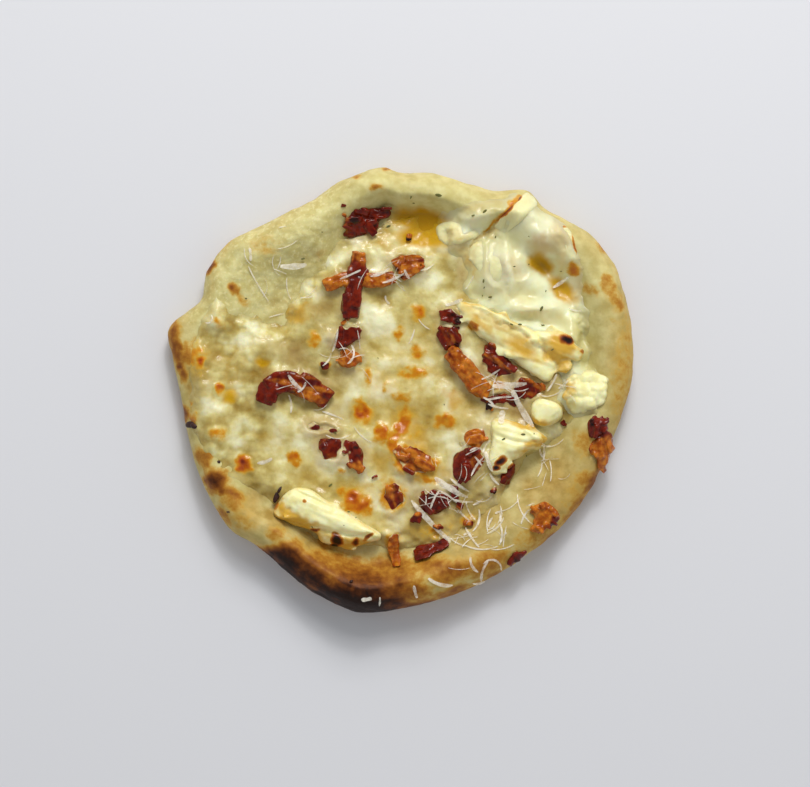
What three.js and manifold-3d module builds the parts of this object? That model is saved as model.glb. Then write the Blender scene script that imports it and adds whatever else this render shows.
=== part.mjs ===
// A small round white pizza, baked and topped, with nothing under it: a thick dough base
// with a raised uneven rim, a sheet of melted cheese, cream sauce pooled on one side,
// pieces of chicken, crisp bacon and a few shreds of hard cheese.
// Millimetres, +Z up. The origin lies under the middle of the pizza, level with its flat
// underside, and +Y is the side away from the eater.
import * as THREE from "three";
import { mergeVertices } from "three/addons/utils/BufferGeometryUtils.js";
import Module from "manifold-3d";

const wasm = await Module();
wasm.setup();

// Driving sizes
const FLOOR_HEIGHT = 8; // dough under the cheese
const WIDEST_HEIGHT = 6.5; // height of the line where the rim is widest
const UNDERCUT = 5; // how far the flat underside stops short of the widest line
const CHEESE_DEPTH = 3.2; // melted cheese, away from its edge
const CREAM_DEPTH = 4.6; // cream sauce, away from its edge
const EDGE_DEPTH = 1.3; // cheese and cream at their edges
const EDGE_FADE = 7; // width over which they thin out
const TUCK = 1.5; // how far a topping reaches down into what it lies on, before it is trimmed
const GAP = 0.35; // clearance kept between touching pieces
const SECTORS = 96; // steps round the dough
const GRID_STEP = 5.6; // grid of the cheese and cream
const GRID_BOTTOM = 5; // their underside, before the dough is cut out of it
const SHRED_WIDTH = 1.3;
const SHRED_THICKNESS = 0.8;
const ABOVE_ALL = 60; // a height that clears the whole pizza
const BIT_SIDES = { chicken: 15, bacon: 9 }; // steps round a piece of topping
const STRIP_SIDES = 8;

// Outline of the dough seen from above: direction in degrees from +X, and radius
const OUTLINE = [
  [3, 88.1], [20, 92], [31, 94.2], [40, 93.1], [52, 88.2], [58, 89.8], [66, 83.4], [82, 83.5],
  [90, 83.1], [95, 85.4], [105, 83.3], [116, 80.2], [129, 82], [139, 86.6], [148, 87], [156, 84.2],
  [165, 91.7], [172, 88.2], [180, 84.7], [192, 82.9], [218, 83.9], [229, 80.5], [247, 83.9],
  [260, 86], [272, 82.7], [285, 80.2], [304, 78.7], [322, 80.2], [338, 81.8], [350, 83.3],
];

// The rim by direction: degrees, width from the edge down to the floor, height of its crest,
// and how far the crest lies in from the edge
const RIM = [
  [0, 21, 17, 9], [30, 22, 17, 9.5], [55, 20, 16.5, 9], [85, 16, 18, 8], [110, 22, 16.5, 9],
  [145, 36, 15, 10], [167, 26, 13.5, 9], [185, 24, 14.5, 8], [215, 17, 15.5, 8],
  [245, 19, 17.5, 9], [275, 23, 18.5, 10], [305, 27, 17, 10], [335, 24, 16, 9.5],
];

// Blisters and dips of the dough: x, y, radius, height
const DOUGH_LUMPS = [
  [-17.5, 80, 4, 1.9], // blisters on the far rim
  [-9, 77.5, 4, 1.6],
  [-50, 62, 12, 0.9], // puffed shoulder of the bare dough
  [-46, 42, 13, -1.2], // shallow dish in it
  [-76, 11, 6, 1.6], // golden blister on the left
  [-71, -33, 7, 1.2],
  [-60, -47, 8, 0.8],
  [-20, -74, 13, 1.6], // puffed near rim
  [18, -71, 12, 1.2],
  [42, -56, 9, -1],
  [60, -28, 10, -1.4], // bare dish at the lower right
  [72, -33, 7, 1.2],
  [80, 34, 10, 1.2], // puffed right rim
  [76, 8, 9, 0.8],
  [6, 63, 10, -2], // oily hollow behind the far rim
];

// Mounds of the melted cheese: x, y, radius, height
const CHEESE_LUMPS = [
  [-63, 14, 8, 1.6], // bubbled cheese on the left
  [-66, 0, 8, 1.4],
  [-70, -17, 7, 1.8],
  [-52, -8, 10, 1],
  [-50, 18, 6, 1.4],
  [-40, 36, 5, 1.6], // rolled edge beside the bare dough
  [-30, 46, 5, 1.4],
  [-31, -44, 9, 0.8],
  [-6, -30, 9, 1.2], // over the sunk bacon
  [-22, -22, 8, 1.4],
  [2, 8, 12, -0.8],
  [4, 30, 9, 0.8],
  [6, 62, 10, -1.8], // oily hollow
  [-8, -52, 8, 0.8],
  [44, -20, 8, 0.8],
];

// Mounds and pits of the cream: x, y, radius, height
const CREAM_LUMPS = [
  [38, 48, 9, 4.2], // over the pieces of chicken under it
  [44, 64, 8, 0.8],
  [59, 58, 8, 1.6],
  [47, 34, 10, 2.6],
  [66, 22, 7, 2.2],
  [22, 59, 7, 2.4],
  [54.5, 47.5, 5.5, -4.2], // open pits with oil in them
  [65.5, 35, 5.5, -2.6],
];

const CHEESE_EDGE = [
  [-21.5, 58], [-8, 62.5], [5, 66.5], [14.5, 64], [26, 62], [33.5, 49.5], [38.5, 36], [54.5, 21],
  [66, 4], [64, -11], [54.5, -22.5], [45, -27.5], [37.5, -41.5], [26, -49], [14.5, -58.5],
  [-0.5, -59.5], [-23.5, -58.5], [-38.5, -53], [-50, -43], [-61.5, -35], [-72, -27], [-77, -18],
  [-79.5, -10], [-80.5, -2], [-80.5, 8], [-79, 17.5], [-76, 25], [-73, 33.5], [-70, 37],
  [-66.5, 33], [-61, 30], [-53, 27], [-45.5, 27.5], [-42, 34.5], [-36.5, 42], [-31, 47.5],
  [-25.5, 53.5],
];

const CREAM_EDGE = [
  [14.5, 66.5], [26, 71], [37, 72.5], [45, 73.5], [52.5, 70.5], [60, 64], [66.5, 52], [69.5, 35],
  [71.5, 23], [74.5, 8.5], [76.5, -0.5], [72.5, -8.5], [62, -10], [56.5, -3.5], [57, 5],
  [49, 14.5], [37.5, 20], [26, 27], [18.5, 34.5], [17, 46], [14, 55.5],
];

// Chicken: outline seen from above, and height above what it lies on
const CHICKEN = {
  lower_left: { height: 8.2, edge: [
    [-47.5, -43], [-44.5, -39], [-39.5, -37], [-33.5, -38], [-27.5, -42.5], [-20.5, -46.5],
    [-13.5, -50.5], [-8, -54], [-8.5, -57], [-17.5, -59], [-22, -60], [-30, -58], [-33, -54],
    [-39.5, -51.5], [-45.5, -49.5], [-49, -46.5]] },
  long: { height: 6.6, edge: [
    [20.5, 33.5], [28.5, 33], [40, 27.5], [50.5, 23], [62.5, 22], [66.5, 17.5], [69.5, 15],
    [67.5, 11.5], [61.5, 11.5], [56, 3], [50.5, 5.5], [43.5, 10.5], [36.5, 16], [29.5, 21],
    [24, 26]] },
  triangle: { height: 6.8, edge: [
    [34, -11.5], [40, -11], [50.5, -15], [55.5, -18], [52.5, -21], [46, -24.5], [40, -28.5],
    [37, -32.5], [34, -31], [32.5, -26.5], [34, -19]] },
  nub: { height: 6.2, edge: [
    [49, -6.5], [52, -3], [58, -4.5], [61.5, -7.5], [61, -11], [55.5, -14], [50.5, -12]] },
  fold: { height: 3.6, edge: [
    [35, 63], [39.5, 68.5], [44.5, 74.5], [50, 73.5], [51, 69.5], [45, 64], [39.5, 59],
    [36.5, 60]] },
  slab: { height: 2, edge: [
    [27, 55.5], [34, 58], [39, 53], [40, 47.5], [36.5, 40], [30.5, 39], [28.5, 46], [25.5, 50.5]] },
  sliver: { height: 2.4, edge: [
    [61, 63], [63.5, 62], [66.5, 53.5], [65, 46], [62.5, 47.5], [61.5, 53.5], [59.5, 59]] },
  crumble: { height: 3.2, edge: [
    [63.5, 4.5], [69.5, 7], [77, 5.5], [77.5, 0], [75.5, -5], [67.5, -9], [63.5, -6.5], [62.5, 0]] },
  curl: { height: 2.6, edge: [
    [13.5, 62.5], [21, 65], [27, 64], [30.5, 60], [25.5, 57], [19, 55], [14, 57]] },
};

// Bacon bits: outline seen from above, and height above what they lie on
const BACON_BITS = {
  wedge_top: { height: 4, edge: [
    [-22, 71], [-17.5, 69.5], [-11, 69.5], [-4.5, 69.5], [-4, 66.5], [-8.5, 64.5], [-9.5, 60],
    [-14.5, 59], [-20.5, 58], [-22, 64]] },
  grain_top: { height: 4.4, edge: [
    [-4.5, 49.5], [0, 51.5], [8, 51.5], [8.5, 46], [5.5, 43], [2, 42.5], [-1.5, 45]] },
  cluster_far: { height: 3.6, edge: [
    [-22, 24.5], [-16, 24], [-16, 20], [-20.5, 16.5], [-25, 15.5], [-26.5, 19]] },
  cluster_near: { height: 3.6, edge: [
    [-24.5, 12.5], [-20.5, 15.5], [-16, 14], [-15, 11.5], [-19, 8], [-24, 9.5]] },
  sunk_grey: { height: 1.6, edge: [
    [-36.5, -13], [-31.5, -11.5], [-25.5, -13.5], [-24, -16], [-30, -16.5], [-35.5, -16]] },
  sunk_left: { height: 2.6, edge: [
    [-31.5, -19], [-27.5, -18], [-23, -20], [-23.5, -26.5], [-28.5, -27], [-31.5, -24]] },
  sunk_right: { height: 2.8, edge: [
    [-22, -19], [-16, -20.5], [-14, -26.5], [-16, -31], [-20.5, -28.5], [-22, -24]] },
  dark_top: { height: 4, edge: [
    [14.5, 29.5], [19, 31.5], [23.5, 28.5], [22, 25], [17.5, 25.5], [15, 27]] },
  red: { height: 4, edge: [
    [14.5, 24], [20, 24], [23.5, 21], [22, 17.5], [17.5, 15.5], [14, 19]] },
  flat: { height: 3.6, edge: [
    [31.5, 17.5], [36.5, 17], [42.5, 11.5], [42, 5.5], [34, 5.5], [31.5, 10.5]] },
  dark_low: { height: 3.2, edge: [
    [31.5, -2.5], [39, 0], [44.5, -2], [43.5, -6.5], [38, -5], [34, -6.5]] },
  dark_right: { height: 3, edge: [
    [44.5, 6.5], [50.5, 3.5], [55, 1.5], [50.5, -2.5], [44.5, -3]] },
  crusted: { height: 3.6, edge: [
    [-3, -22], [3, -21], [8, -23], [12.5, -27.5], [10.5, -31], [3, -32.5], [-1.5, -28.5]] },
  low_left: { height: 3.4, edge: [
    [-6.5, -38], [-1.5, -36], [2, -42], [-3, -46.5], [-5.5, -44.5]] },
  low_right: { height: 3.8, edge: [
    [6.5, -40.5], [11.5, -38], [17.5, -39.5], [17, -44.5], [12.5, -47.5], [7.5, -45.5]] },
  middle_far: { height: 3.8, edge: [
    [24, -16], [31.5, -14], [32.5, -18.5], [28.5, -22], [23.5, -21]] },
  middle_near: { height: 4.4, edge: [
    [20, -24], [27, -22], [32, -25.5], [29.5, -31], [23.5, -35], [19, -32.5]] },
  by_triangle: { height: 3, edge: [
    [38, -30], [42.5, -27], [43.5, -31], [40, -36], [36.5, -35]] },
  rim_dark: { height: 3.4, edge: [
    [71, -11], [77, -10.5], [78, -14], [74.5, -17.5], [71, -17.5]] },
  rim_amber: { height: 3.6, edge: [
    [72, -19], [77.5, -15.5], [80, -16.5], [80.5, -21.5], [78.5, -26.5], [77, -31], [74.5, -30],
    [74, -25.5], [71, -23.5]] },
  edge_amber: { height: 3.8, edge: [
    [49, -44.5], [54, -42], [57.5, -44], [60, -47.5], [57.5, -51], [52, -53.5], [48.5, -53],
    [50.5, -49]] },
  edge_red: { height: 2.4, edge: [
    [41, -63], [46, -60.5], [47.5, -62], [44, -65], [41.5, -65.5]] },
};

// Curled strips of bacon: middle line seen from above, width and height
const BACON_STRIPS = {
  curl_down: { width: 5, height: 4.6, line: [
    [-16, 51], [-16.5, 45], [-18, 39], [-19, 33.5], [-19.5, 29]] },
  across_left: { width: 5, height: 3.6, line: [[-28, 39.5], [-25, 42], [-21, 43]] },
  across_right: { width: 5, height: 3.8, line: [[-13, 42.5], [-9, 41.5], [-4.5, 42.5]] },
  crescent: { width: 6, height: 4.6, line: [
    [-50.5, -2], [-50, 2], [-45, 5], [-38.5, 3.5], [-33, 0.5], [-30, -2.5]] },
  ridge: { width: 6, height: 4.4, line: [
    [19, 14], [22, 10.5], [25.5, 6.5], [29, 2], [32, 0]] },
  low_strip: { width: 3.6, height: 2.8, line: [[6.5, -62], [11.5, -60], [16.5, -58]] },
  drip: { width: 3.6, height: 2.4, line: [[-3, -56.5], [-3, -60.5], [-2, -65]] },
};

// Larger shreds of hard cheese that lie on the dough: x, y, heading in degrees, length, bend
const DOUGH_SHREDS = [
  [29.5, -70, 62, 9, 25], [5, -74, -70, 8, 0], [15, -73, -8, 10, 50], [-47, 49, 8, 8, 15],
  [-57.5, 53, -60, 7, -20], [35, -58, 20, 9, -30], [63, -32, 92, 9, 20], [53, -34, 40, 8, 30],
  [24, -65, -25, 7, 20], [62.5, -36, 100, 7, -15], [36, -66, 150, 7, 30], [-1, -76, 5, 6, 0],
];

// The same on the melted cheese
const CHEESE_SHREDS = [
  [-12, 2, 70, 7, 20], [12, 2, -50, 7, -20], [-40, -24, 20, 7, 15], [-58, -26, -35, 7, 20],
];

/** A smooth closed curve through rows of [degrees, value, ...], read at any angle. */
function roundTheRim(rows, column) {
  const count = rows.length;
  const row = (i) => rows[((i % count) + count) % count];
  const angleOf = (i) => row(i)[0] + 360 * Math.floor(i / count);
  const slope = (i) =>
    (row(i + 1)[column] - row(i - 1)[column]) / (angleOf(i + 1) - angleOf(i - 1));
  return (degrees) => {
    const turned = ((degrees % 360) + 360) % 360;
    const angle = turned < rows[0][0] ? turned + 360 : turned;
    let i = count - 1;
    while (rows[i][0] > angle) i -= 1;
    const span = angleOf(i + 1) - angleOf(i);
    const t = (angle - angleOf(i)) / span;
    const rise = row(i + 1)[column] - row(i)[column];
    const start = slope(i) * span;
    const end = slope(i + 1) * span;
    return row(i)[column] + t * start + t * t * (3 * rise - 2 * start - end)
      + t * t * t * (start + end - 2 * rise);
  };
}

const edgeRadius = roundTheRim(OUTLINE, 1);
const rimWidth = roundTheRim(RIM, 1);
const crestHeight = roundTheRim(RIM, 2);
const crestInset = roundTheRim(RIM, 3);

const degreesOf = (x, y) => THREE.MathUtils.radToDeg(Math.atan2(y, x));
const smooth = (low, high, value) => THREE.MathUtils.smoothstep(value, low, high);

/** Round-topped lumps (or dips, where their height is below nought), added up. */
function lumpHeight(lumps, x, y) {
  let height = 0;
  for (const [lumpX, lumpY, radius, rise] of lumps) {
    const near = ((x - lumpX) ** 2 + (y - lumpY) ** 2) / radius ** 2;
    height += rise * Math.exp(-near);
  }
  return height;
}

/** The slow uneven rise and fall of hand-shaped dough. */
const wobble = (x, y) =>
  0.5 * Math.sin(x / 9 + 1.3) * Math.cos(y / 11 - 0.4) + 0.25 * Math.sin(x / 4.3 + y / 6.1);

/** The rim's section: up and over its crest, then down to the floor. */
function rimSection(degrees, inset) {
  const crest = crestHeight(degrees);
  const peak = crestInset(degrees);
  const foot = rimWidth(degrees);
  if (inset <= 0) return WIDEST_HEIGHT;
  if (inset < peak) {
    const t = 1 - inset / peak;
    return WIDEST_HEIGHT + (crest - WIDEST_HEIGHT) * Math.sqrt(1 - t * t);
  }
  if (inset < foot) {
    const t = (inset - peak) / (foot - peak);
    return FLOOR_HEIGHT + (crest - FLOOR_HEIGHT) * (0.5 + 0.5 * Math.cos(Math.PI * t));
  }
  return FLOOR_HEIGHT;
}

function doughTop(x, y) {
  const degrees = degreesOf(x, y);
  const inset = edgeRadius(degrees) - Math.hypot(x, y);
  const relief = lumpHeight(DOUGH_LUMPS, x, y) + wobble(x, y);
  return rimSection(degrees, inset) + relief * smooth(0, 4, inset);
}

/** Points along a smooth curve through [x, y] pairs. */
function curvePoints(pairs, closed, count) {
  const bends = pairs.map(([x, y]) => new THREE.Vector3(x, y, 0));
  return new THREE.CatmullRomCurve3(bends, closed, "catmullrom", 0.5)
    .getSpacedPoints(count)
    .slice(0, closed ? count : count + 1)
    .map((point) => [point.x, point.y]);
}

/** The same closed loop, counter-clockwise and moved outwards by grow. */
function grownLoop(loop, grow) {
  const points = loop.map(([x, y]) => new THREE.Vector2(x, y));
  const counted = THREE.ShapeUtils.isClockWise(points) ? points.reverse() : points;
  return counted.map((point, i) => {
    const before = counted[(i + counted.length - 1) % counted.length];
    const after = counted[(i + 1) % counted.length];
    const along = after.clone().sub(before).normalize();
    return [point.x + along.y * grow, point.y - along.x * grow];
  });
}

/** How far a point lies inside a loop, or a number below nought outside it. */
function insetIn(loop, x, y) {
  let nearest = Infinity;
  let inside = false;
  loop.forEach(([ax, ay], i) => {
    const [bx, by] = loop[(i + 1) % loop.length];
    const dx = bx - ax;
    const dy = by - ay;
    const t = THREE.MathUtils.clamp(((x - ax) * dx + (y - ay) * dy) / (dx * dx + dy * dy), 0, 1);
    nearest = Math.min(nearest, Math.hypot(x - ax - t * dx, y - ay - t * dy));
    if ((ay > y) !== (by > y) && x < ax + (dx * (y - ay)) / dy) inside = !inside;
  });
  return inside ? nearest : -nearest;
}

const cheeseLoop = curvePoints(CHEESE_EDGE, true, 96);
const creamLoop = curvePoints(CREAM_EDGE, true, 56);

/** Depth of a poured layer: full inside, thin at its edge. */
function pouredDepth(loop, full, lumps, x, y) {
  const share = smooth(0, EDGE_FADE, insetIn(loop, x, y));
  const depth = full + lumpHeight(lumps, x, y) + 0.3 * wobble(y, x);
  return EDGE_DEPTH + Math.max(depth - EDGE_DEPTH, 0) * share;
}

const cheeseTop = (x, y) =>
  doughTop(x, y) + pouredDepth(cheeseLoop, CHEESE_DEPTH, CHEESE_LUMPS, x, y);
const creamTop = (x, y) =>
  doughTop(x, y) + pouredDepth(creamLoop, CREAM_DEPTH, CREAM_LUMPS, x, y);

/** What a topping lies on at a point. */
function restingHeight(x, y) {
  let height = doughTop(x, y);
  if (insetIn(cheeseLoop, x, y) > 0) height = Math.max(height, cheeseTop(x, y));
  if (insetIn(creamLoop, x, y) > 0) height = Math.max(height, creamTop(x, y));
  return height;
}

/** A repeatable run of numbers between nought and one. */
function seeded(seed) {
  let state = seed;
  return () => {
    state = (state * 1664525 + 1013904223) % 4294967296;
    return state / 4294967296;
  };
}

/** The mean of some points. */
const middleOf = (points) => points[0].map((_, axis) =>
  points.reduce((sum, point) => sum + point[axis], 0) / points.length);

/** A closed skin over a stack of rings, lowest first, with one point below and one above. */
function loft(rings, first, last) {
  const size = rings[0].length;
  const index = [];
  const at = (ring, i) => 1 + ring * size + (i % size);
  const end = 1 + rings.length * size;
  for (let i = 0; i < size; i += 1) {
    index.push(0, at(0, i + 1), at(0, i));
    for (let ring = 0; ring + 1 < rings.length; ring += 1) {
      index.push(at(ring, i), at(ring, i + 1), at(ring + 1, i + 1));
      index.push(at(ring, i), at(ring + 1, i + 1), at(ring + 1, i));
    }
    index.push(at(rings.length - 1, i), at(rings.length - 1, i + 1), end);
  }
  const geometry = new THREE.BufferGeometry();
  const points = [first, ...rings.flat(), last].flat();
  geometry.setAttribute("position", new THREE.Float32BufferAttribute(points, 3));
  geometry.setIndex(index);
  return geometry;
}

/** The dough: a flat underside, a rounded flank, then the rim and the floor. */
function doughBody(grow = 0) {
  const turns = Array.from({ length: SECTORS }, (_, i) => (i * 360) / SECTORS);
  const ringAt = (place) => turns.map((degrees) => {
    const [radius, height] = place(degrees);
    const angle = THREE.MathUtils.degToRad(degrees);
    return [radius * Math.cos(angle), radius * Math.sin(angle), height];
  });
  const topRing = (insetOf) => turns.map((degrees) => {
    const inset = insetOf(degrees);
    const angle = THREE.MathUtils.degToRad(degrees);
    const radius = edgeRadius(degrees) - inset;
    const x = radius * Math.cos(angle);
    const y = radius * Math.sin(angle);
    const outwards = 1 + (grow / radius) * (1 - smooth(0, crestInset(degrees), inset));
    return [x * outwards, y * outwards, doughTop(x, y) + grow];
  });
  const flank = [0, 0.5, 0.8, 1].map((share) => ringAt((degrees) => {
    const angle = (share * Math.PI) / 2;
    const radius = edgeRadius(degrees) - UNDERCUT * (1 - Math.sin(angle)) + grow;
    return [radius, WIDEST_HEIGHT * (1 - Math.cos(angle)) - grow];
  }));
  const upAndOver = [0.05, 0.2, 0.45, 0.72, 1].map((share) =>
    topRing((degrees) => share * crestInset(degrees)));
  const downInside = [0.22, 0.45, 0.7, 1].map((share) => topRing((degrees) =>
    crestInset(degrees) + share * (rimWidth(degrees) - crestInset(degrees))));
  const floor = topRing((degrees) => (edgeRadius(degrees) + rimWidth(degrees)) / 2);
  const rings = [...flank, ...upAndOver, ...downInside, floor];
  return loft(rings, [0, 0, -grow], [0, 0, doughTop(0, 0) + grow]);
}

/** A block whose top is a grid of heights, over the area of a loop of points. */
function block(loop, topAt, raise) {
  const margin = 2 * GRID_STEP;
  const lowest = (axis) => Math.min(...loop.map((point) => point[axis])) - margin;
  const longest = (axis) => Math.max(...loop.map((point) => point[axis])) + margin - lowest(axis);
  const columns = Math.ceil(longest(0) / GRID_STEP);
  const rows = Math.ceil(longest(1) / GRID_STEP);
  const shape = new THREE.BoxGeometry(longest(0), longest(1), 1, columns, rows, 1);
  const position = shape.attributes.position;
  for (let i = 0; i < position.count; i += 1) {
    const x = position.getX(i) + lowest(0) + longest(0) / 2;
    const y = position.getY(i) + lowest(1) + longest(1) / 2;
    const height = position.getZ(i) > 0 ? topAt(x, y) + raise : GRID_BOTTOM;
    position.setXYZ(i, x, y, height);
  }
  return shape;
}

/** An upright prism over a loop of points. */
function prism(loop) {
  const shape = new THREE.Shape(loop.map(([x, y]) => new THREE.Vector2(x, y)));
  return new THREE.ExtrudeGeometry(shape, { depth: ABOVE_ALL, bevelEnabled: false });
}

/** A bit of topping with a given outline: full at its waist, rounded over its top. */
function bit({ edge, height }, seed, sides, grow = 0) {
  const random = seeded(seed);
  const loop = grownLoop(curvePoints(edge, true, sides), grow);
  const middle = middleOf(loop);
  const ring = (share, level, uneven) => loop.map(([edgeX, edgeY]) => {
    const x = middle[0] + share * (edgeX - middle[0]);
    const y = middle[1] + share * (edgeY - middle[1]);
    const rise = level * height * (1 + uneven * (random() - 0.5));
    return [x, y, restingHeight(x, y) + rise + (level > 0 ? grow : 0)];
  });
  const base = ring(0.92, 0, 0).map(([x, y, z]) => [x, y, z - TUCK - grow]);
  const rings = [base, ring(1, 0.35, 0.5), ring(0.86, 0.85, 0.35), ring(0.5, 1, 0.3)];
  const rest = restingHeight(...middle);
  const below = [...middle, rest - TUCK - grow];
  return loft(rings, below, [...middle, rest + height * 1.02 + grow]);
}

/** A curled strip of topping along a line, thick in the middle and thin at its ends. */
function strip({ line, width, height }, seed, grow = 0) {
  const random = seeded(seed);
  const stations = curvePoints(line, false, 2 * line.length - 1);
  const rings = stations.map(([x, y], i) => {
    const [aheadX, aheadY] = stations[Math.min(i + 1, stations.length - 1)];
    const [behindX, behindY] = stations[Math.max(i - 1, 0)];
    const length = Math.hypot(aheadX - behindX, aheadY - behindY);
    const across = [(aheadY - behindY) / length, (behindX - aheadX) / length];
    const share = i / (stations.length - 1);
    const swell = (0.6 + 0.4 * Math.sin(Math.PI * share)) * (0.85 + 0.3 * random());
    const halfWidth = (width / 2) * swell + grow;
    const top = height * swell + grow;
    const rest = restingHeight(x, y);
    return Array.from({ length: STRIP_SIDES }, (_, side) => {
      const angle = (2 * Math.PI * side) / STRIP_SIDES;
      const out = halfWidth * Math.cos(angle);
      const up = Math.sin(angle) > 0 ? top * Math.sin(angle) : (TUCK + grow) * Math.sin(angle);
      return [x + across[0] * out, y + across[1] * out, rest + up];
    });
  });
  return loft(rings, middleOf(rings[0]), middleOf(rings[rings.length - 1]));
}

/** One flat shred, partly sunk in what it lies on, turning by bend degrees along its length. */
function shred([x, y, heading, length, bend], topAt) {
  const steps = 3;
  const rings = [];
  const place = [x, y];
  for (let i = 0; i <= steps; i += 1) {
    const angle = THREE.MathUtils.degToRad(heading + bend * (i / steps - 0.5));
    const across = [Math.sin(angle) * SHRED_WIDTH / 2, -Math.cos(angle) * SHRED_WIDTH / 2];
    const [left, right] = [1, -1].map((side) =>
      [place[0] + side * across[0], place[1] + side * across[1]]);
    const low = -0.4 * SHRED_THICKNESS;
    const high = low + SHRED_THICKNESS;
    const corners = [[left, low], [left, high], [right, high], [right, low]];
    rings.push(corners.map(([point, lift]) => [...point, topAt(...place) + lift]));
    place[0] += (Math.cos(angle) * length) / steps;
    place[1] += (Math.sin(angle) * length) / steps;
  }
  return loft(rings, middleOf(rings[0]), middleOf(rings[steps]));
}

/** A closed geometry as a solid that can be joined and cut. */
function solid(geometry) {
  const bare = geometry.clone();
  bare.deleteAttribute("normal");
  bare.deleteAttribute("uv");
  const merged = mergeVertices(bare, 1e-4);
  const vertProperties = Float32Array.from(merged.attributes.position.array);
  const triVerts = Uint32Array.from(merged.index.array);
  const made = new wasm.Manifold(new wasm.Mesh({ numProp: 3, vertProperties, triVerts }));
  if (made.volume() > 0) return made;
  for (let i = 0; i < triVerts.length; i += 3) triVerts.subarray(i, i + 2).reverse();
  return new wasm.Manifold(new wasm.Mesh({ numProp: 3, vertProperties, triVerts }));
}

/** The largest of the bodies that a cut leaves. */
const largest = (cut) =>
  cut.decompose().reduce((best, body) => (body.volume() > best.volume() ? body : best));

const group = new THREE.Group();

/** Adds a solid to the group as a named mesh with a material of its own. */
function add(name, body, color, roughness) {
  const mesh = body.getMesh();
  const geometry = new THREE.BufferGeometry();
  geometry.setAttribute("position", new THREE.BufferAttribute(mesh.vertProperties, 3));
  geometry.setIndex(new THREE.BufferAttribute(mesh.triVerts, 1));
  geometry.computeVertexNormals();
  const material = new THREE.MeshStandardMaterial({ color, roughness, metalness: 0 });
  const named = new THREE.Mesh(geometry, material);
  named.name = name;
  group.add(named);
}

// Dough, cheese and cream, each laid over the one before
const withShreds = (body, shreds, topAt) =>
  shreds.reduce((joined, row) => joined.add(solid(shred(row, topAt))), body);

const dough = solid(doughBody());
const raisedDough = solid(doughBody(GAP));
const poured = (loop, topAt, raise) =>
  solid(block(loop, topAt, raise)).intersect(solid(prism(grownLoop(loop, raise))));

const cheese = largest(poured(cheeseLoop, cheeseTop, 0).subtract(raisedDough));
const raisedCheese = poured(cheeseLoop, cheeseTop, GAP);
const cream = largest(
  poured(creamLoop, creamTop, 0).subtract(raisedDough).subtract(raisedCheese));
const raisedCream = poured(creamLoop, creamTop, GAP);
const bed = raisedDough.add(raisedCheese).add(raisedCream);

add("dough", withShreds(dough, DOUGH_SHREDS, doughTop), 0xdcd094, 0.8);
add("melted_cheese", withShreds(cheese, CHEESE_SHREDS, cheeseTop), 0xe6dca0, 0.35);
add("cream_sauce", cream, 0xeeecd2, 0.3);

// Toppings, each trimmed to what it lies on and to those laid before it
let laid = bed;
function lay(name, shape, color, roughness) {
  add(name, largest(solid(shape(0)).subtract(laid)), color, roughness);
  laid = laid.add(solid(shape(GAP)));
}

Object.entries(CHICKEN).forEach(([name, piece], i) => {
  lay(`chicken_${name}`, (grow) => bit(piece, 11 + i, BIT_SIDES.chicken, grow), 0xf2e8b4, 0.5);
});
Object.entries(BACON_STRIPS).forEach(([name, piece], i) => {
  lay(`bacon_${name}`, (grow) => strip(piece, 31 + i, grow), 0x8a2c14, 0.35);
});
Object.entries(BACON_BITS).forEach(([name, piece], i) => {
  lay(`bacon_${name}`, (grow) => bit(piece, 51 + i, BIT_SIDES.bacon, grow), 0x7c2812, 0.35);
});

export default group;
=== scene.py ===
# %% [markdown]
# # A small white pizza
# The real thing is a thick round of dough with a raised rim, baked with melted cheese, a pool
# of cream sauce, pieces of chicken, bits of bacon and shreds of hard cheese on top. A plain
# model of it is loaded first and never moved. Every piece below is modelled over it, in the
# same place and at the same size, and most of them stand in for one of its plain solids.

# %% Load the plain model
import math

import bpy
import numpy as np
from mathutils import Matrix, Vector


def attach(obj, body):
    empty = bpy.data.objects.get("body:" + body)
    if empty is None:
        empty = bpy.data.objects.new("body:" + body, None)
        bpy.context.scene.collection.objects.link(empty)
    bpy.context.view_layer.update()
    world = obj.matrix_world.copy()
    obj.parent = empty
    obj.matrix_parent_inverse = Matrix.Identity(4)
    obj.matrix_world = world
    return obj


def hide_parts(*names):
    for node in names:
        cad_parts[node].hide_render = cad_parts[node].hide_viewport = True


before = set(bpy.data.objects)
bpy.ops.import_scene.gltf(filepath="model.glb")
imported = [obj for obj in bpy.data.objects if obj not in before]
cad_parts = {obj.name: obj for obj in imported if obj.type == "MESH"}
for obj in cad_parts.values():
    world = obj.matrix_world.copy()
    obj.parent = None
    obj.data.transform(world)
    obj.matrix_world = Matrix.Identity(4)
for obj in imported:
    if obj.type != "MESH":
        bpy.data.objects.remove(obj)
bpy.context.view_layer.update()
MM = 0.001

# %% [markdown]
# ## Small helpers
# Blender's operators act on whatever is selected, so everything is deselected before a new
# primitive is added. Points are handled in millimetres as one array, because moving them all
# at once is as quick as a brush stroke.

# %% Selecting, and reading and writing points
def deselect_all():
    if bpy.context.mode != "OBJECT":
        bpy.ops.object.mode_set(mode="OBJECT")
    bpy.ops.object.select_all(action="DESELECT")


def only(piece):
    """Makes a piece the one selected and active object."""
    deselect_all()
    piece.select_set(True)
    bpy.context.view_layer.objects.active = piece


def just_added(name):
    """The object that an operator has just added, under its own name."""
    bpy.context.object.name = name
    return bpy.context.object


def edit(piece, faces=None):
    """Opens a piece for editing with all of it selected, or only the faces given."""
    only(piece)
    bpy.context.tool_settings.mesh_select_mode = (False, False, True)
    bpy.ops.object.mode_set(mode="EDIT")
    bpy.ops.mesh.select_all(action="SELECT" if faces is None else "DESELECT")
    if faces is not None:
        bpy.ops.object.mode_set(mode="OBJECT")
        piece.data.polygons.foreach_set("select", faces)
        bpy.ops.object.mode_set(mode="EDIT")


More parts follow.
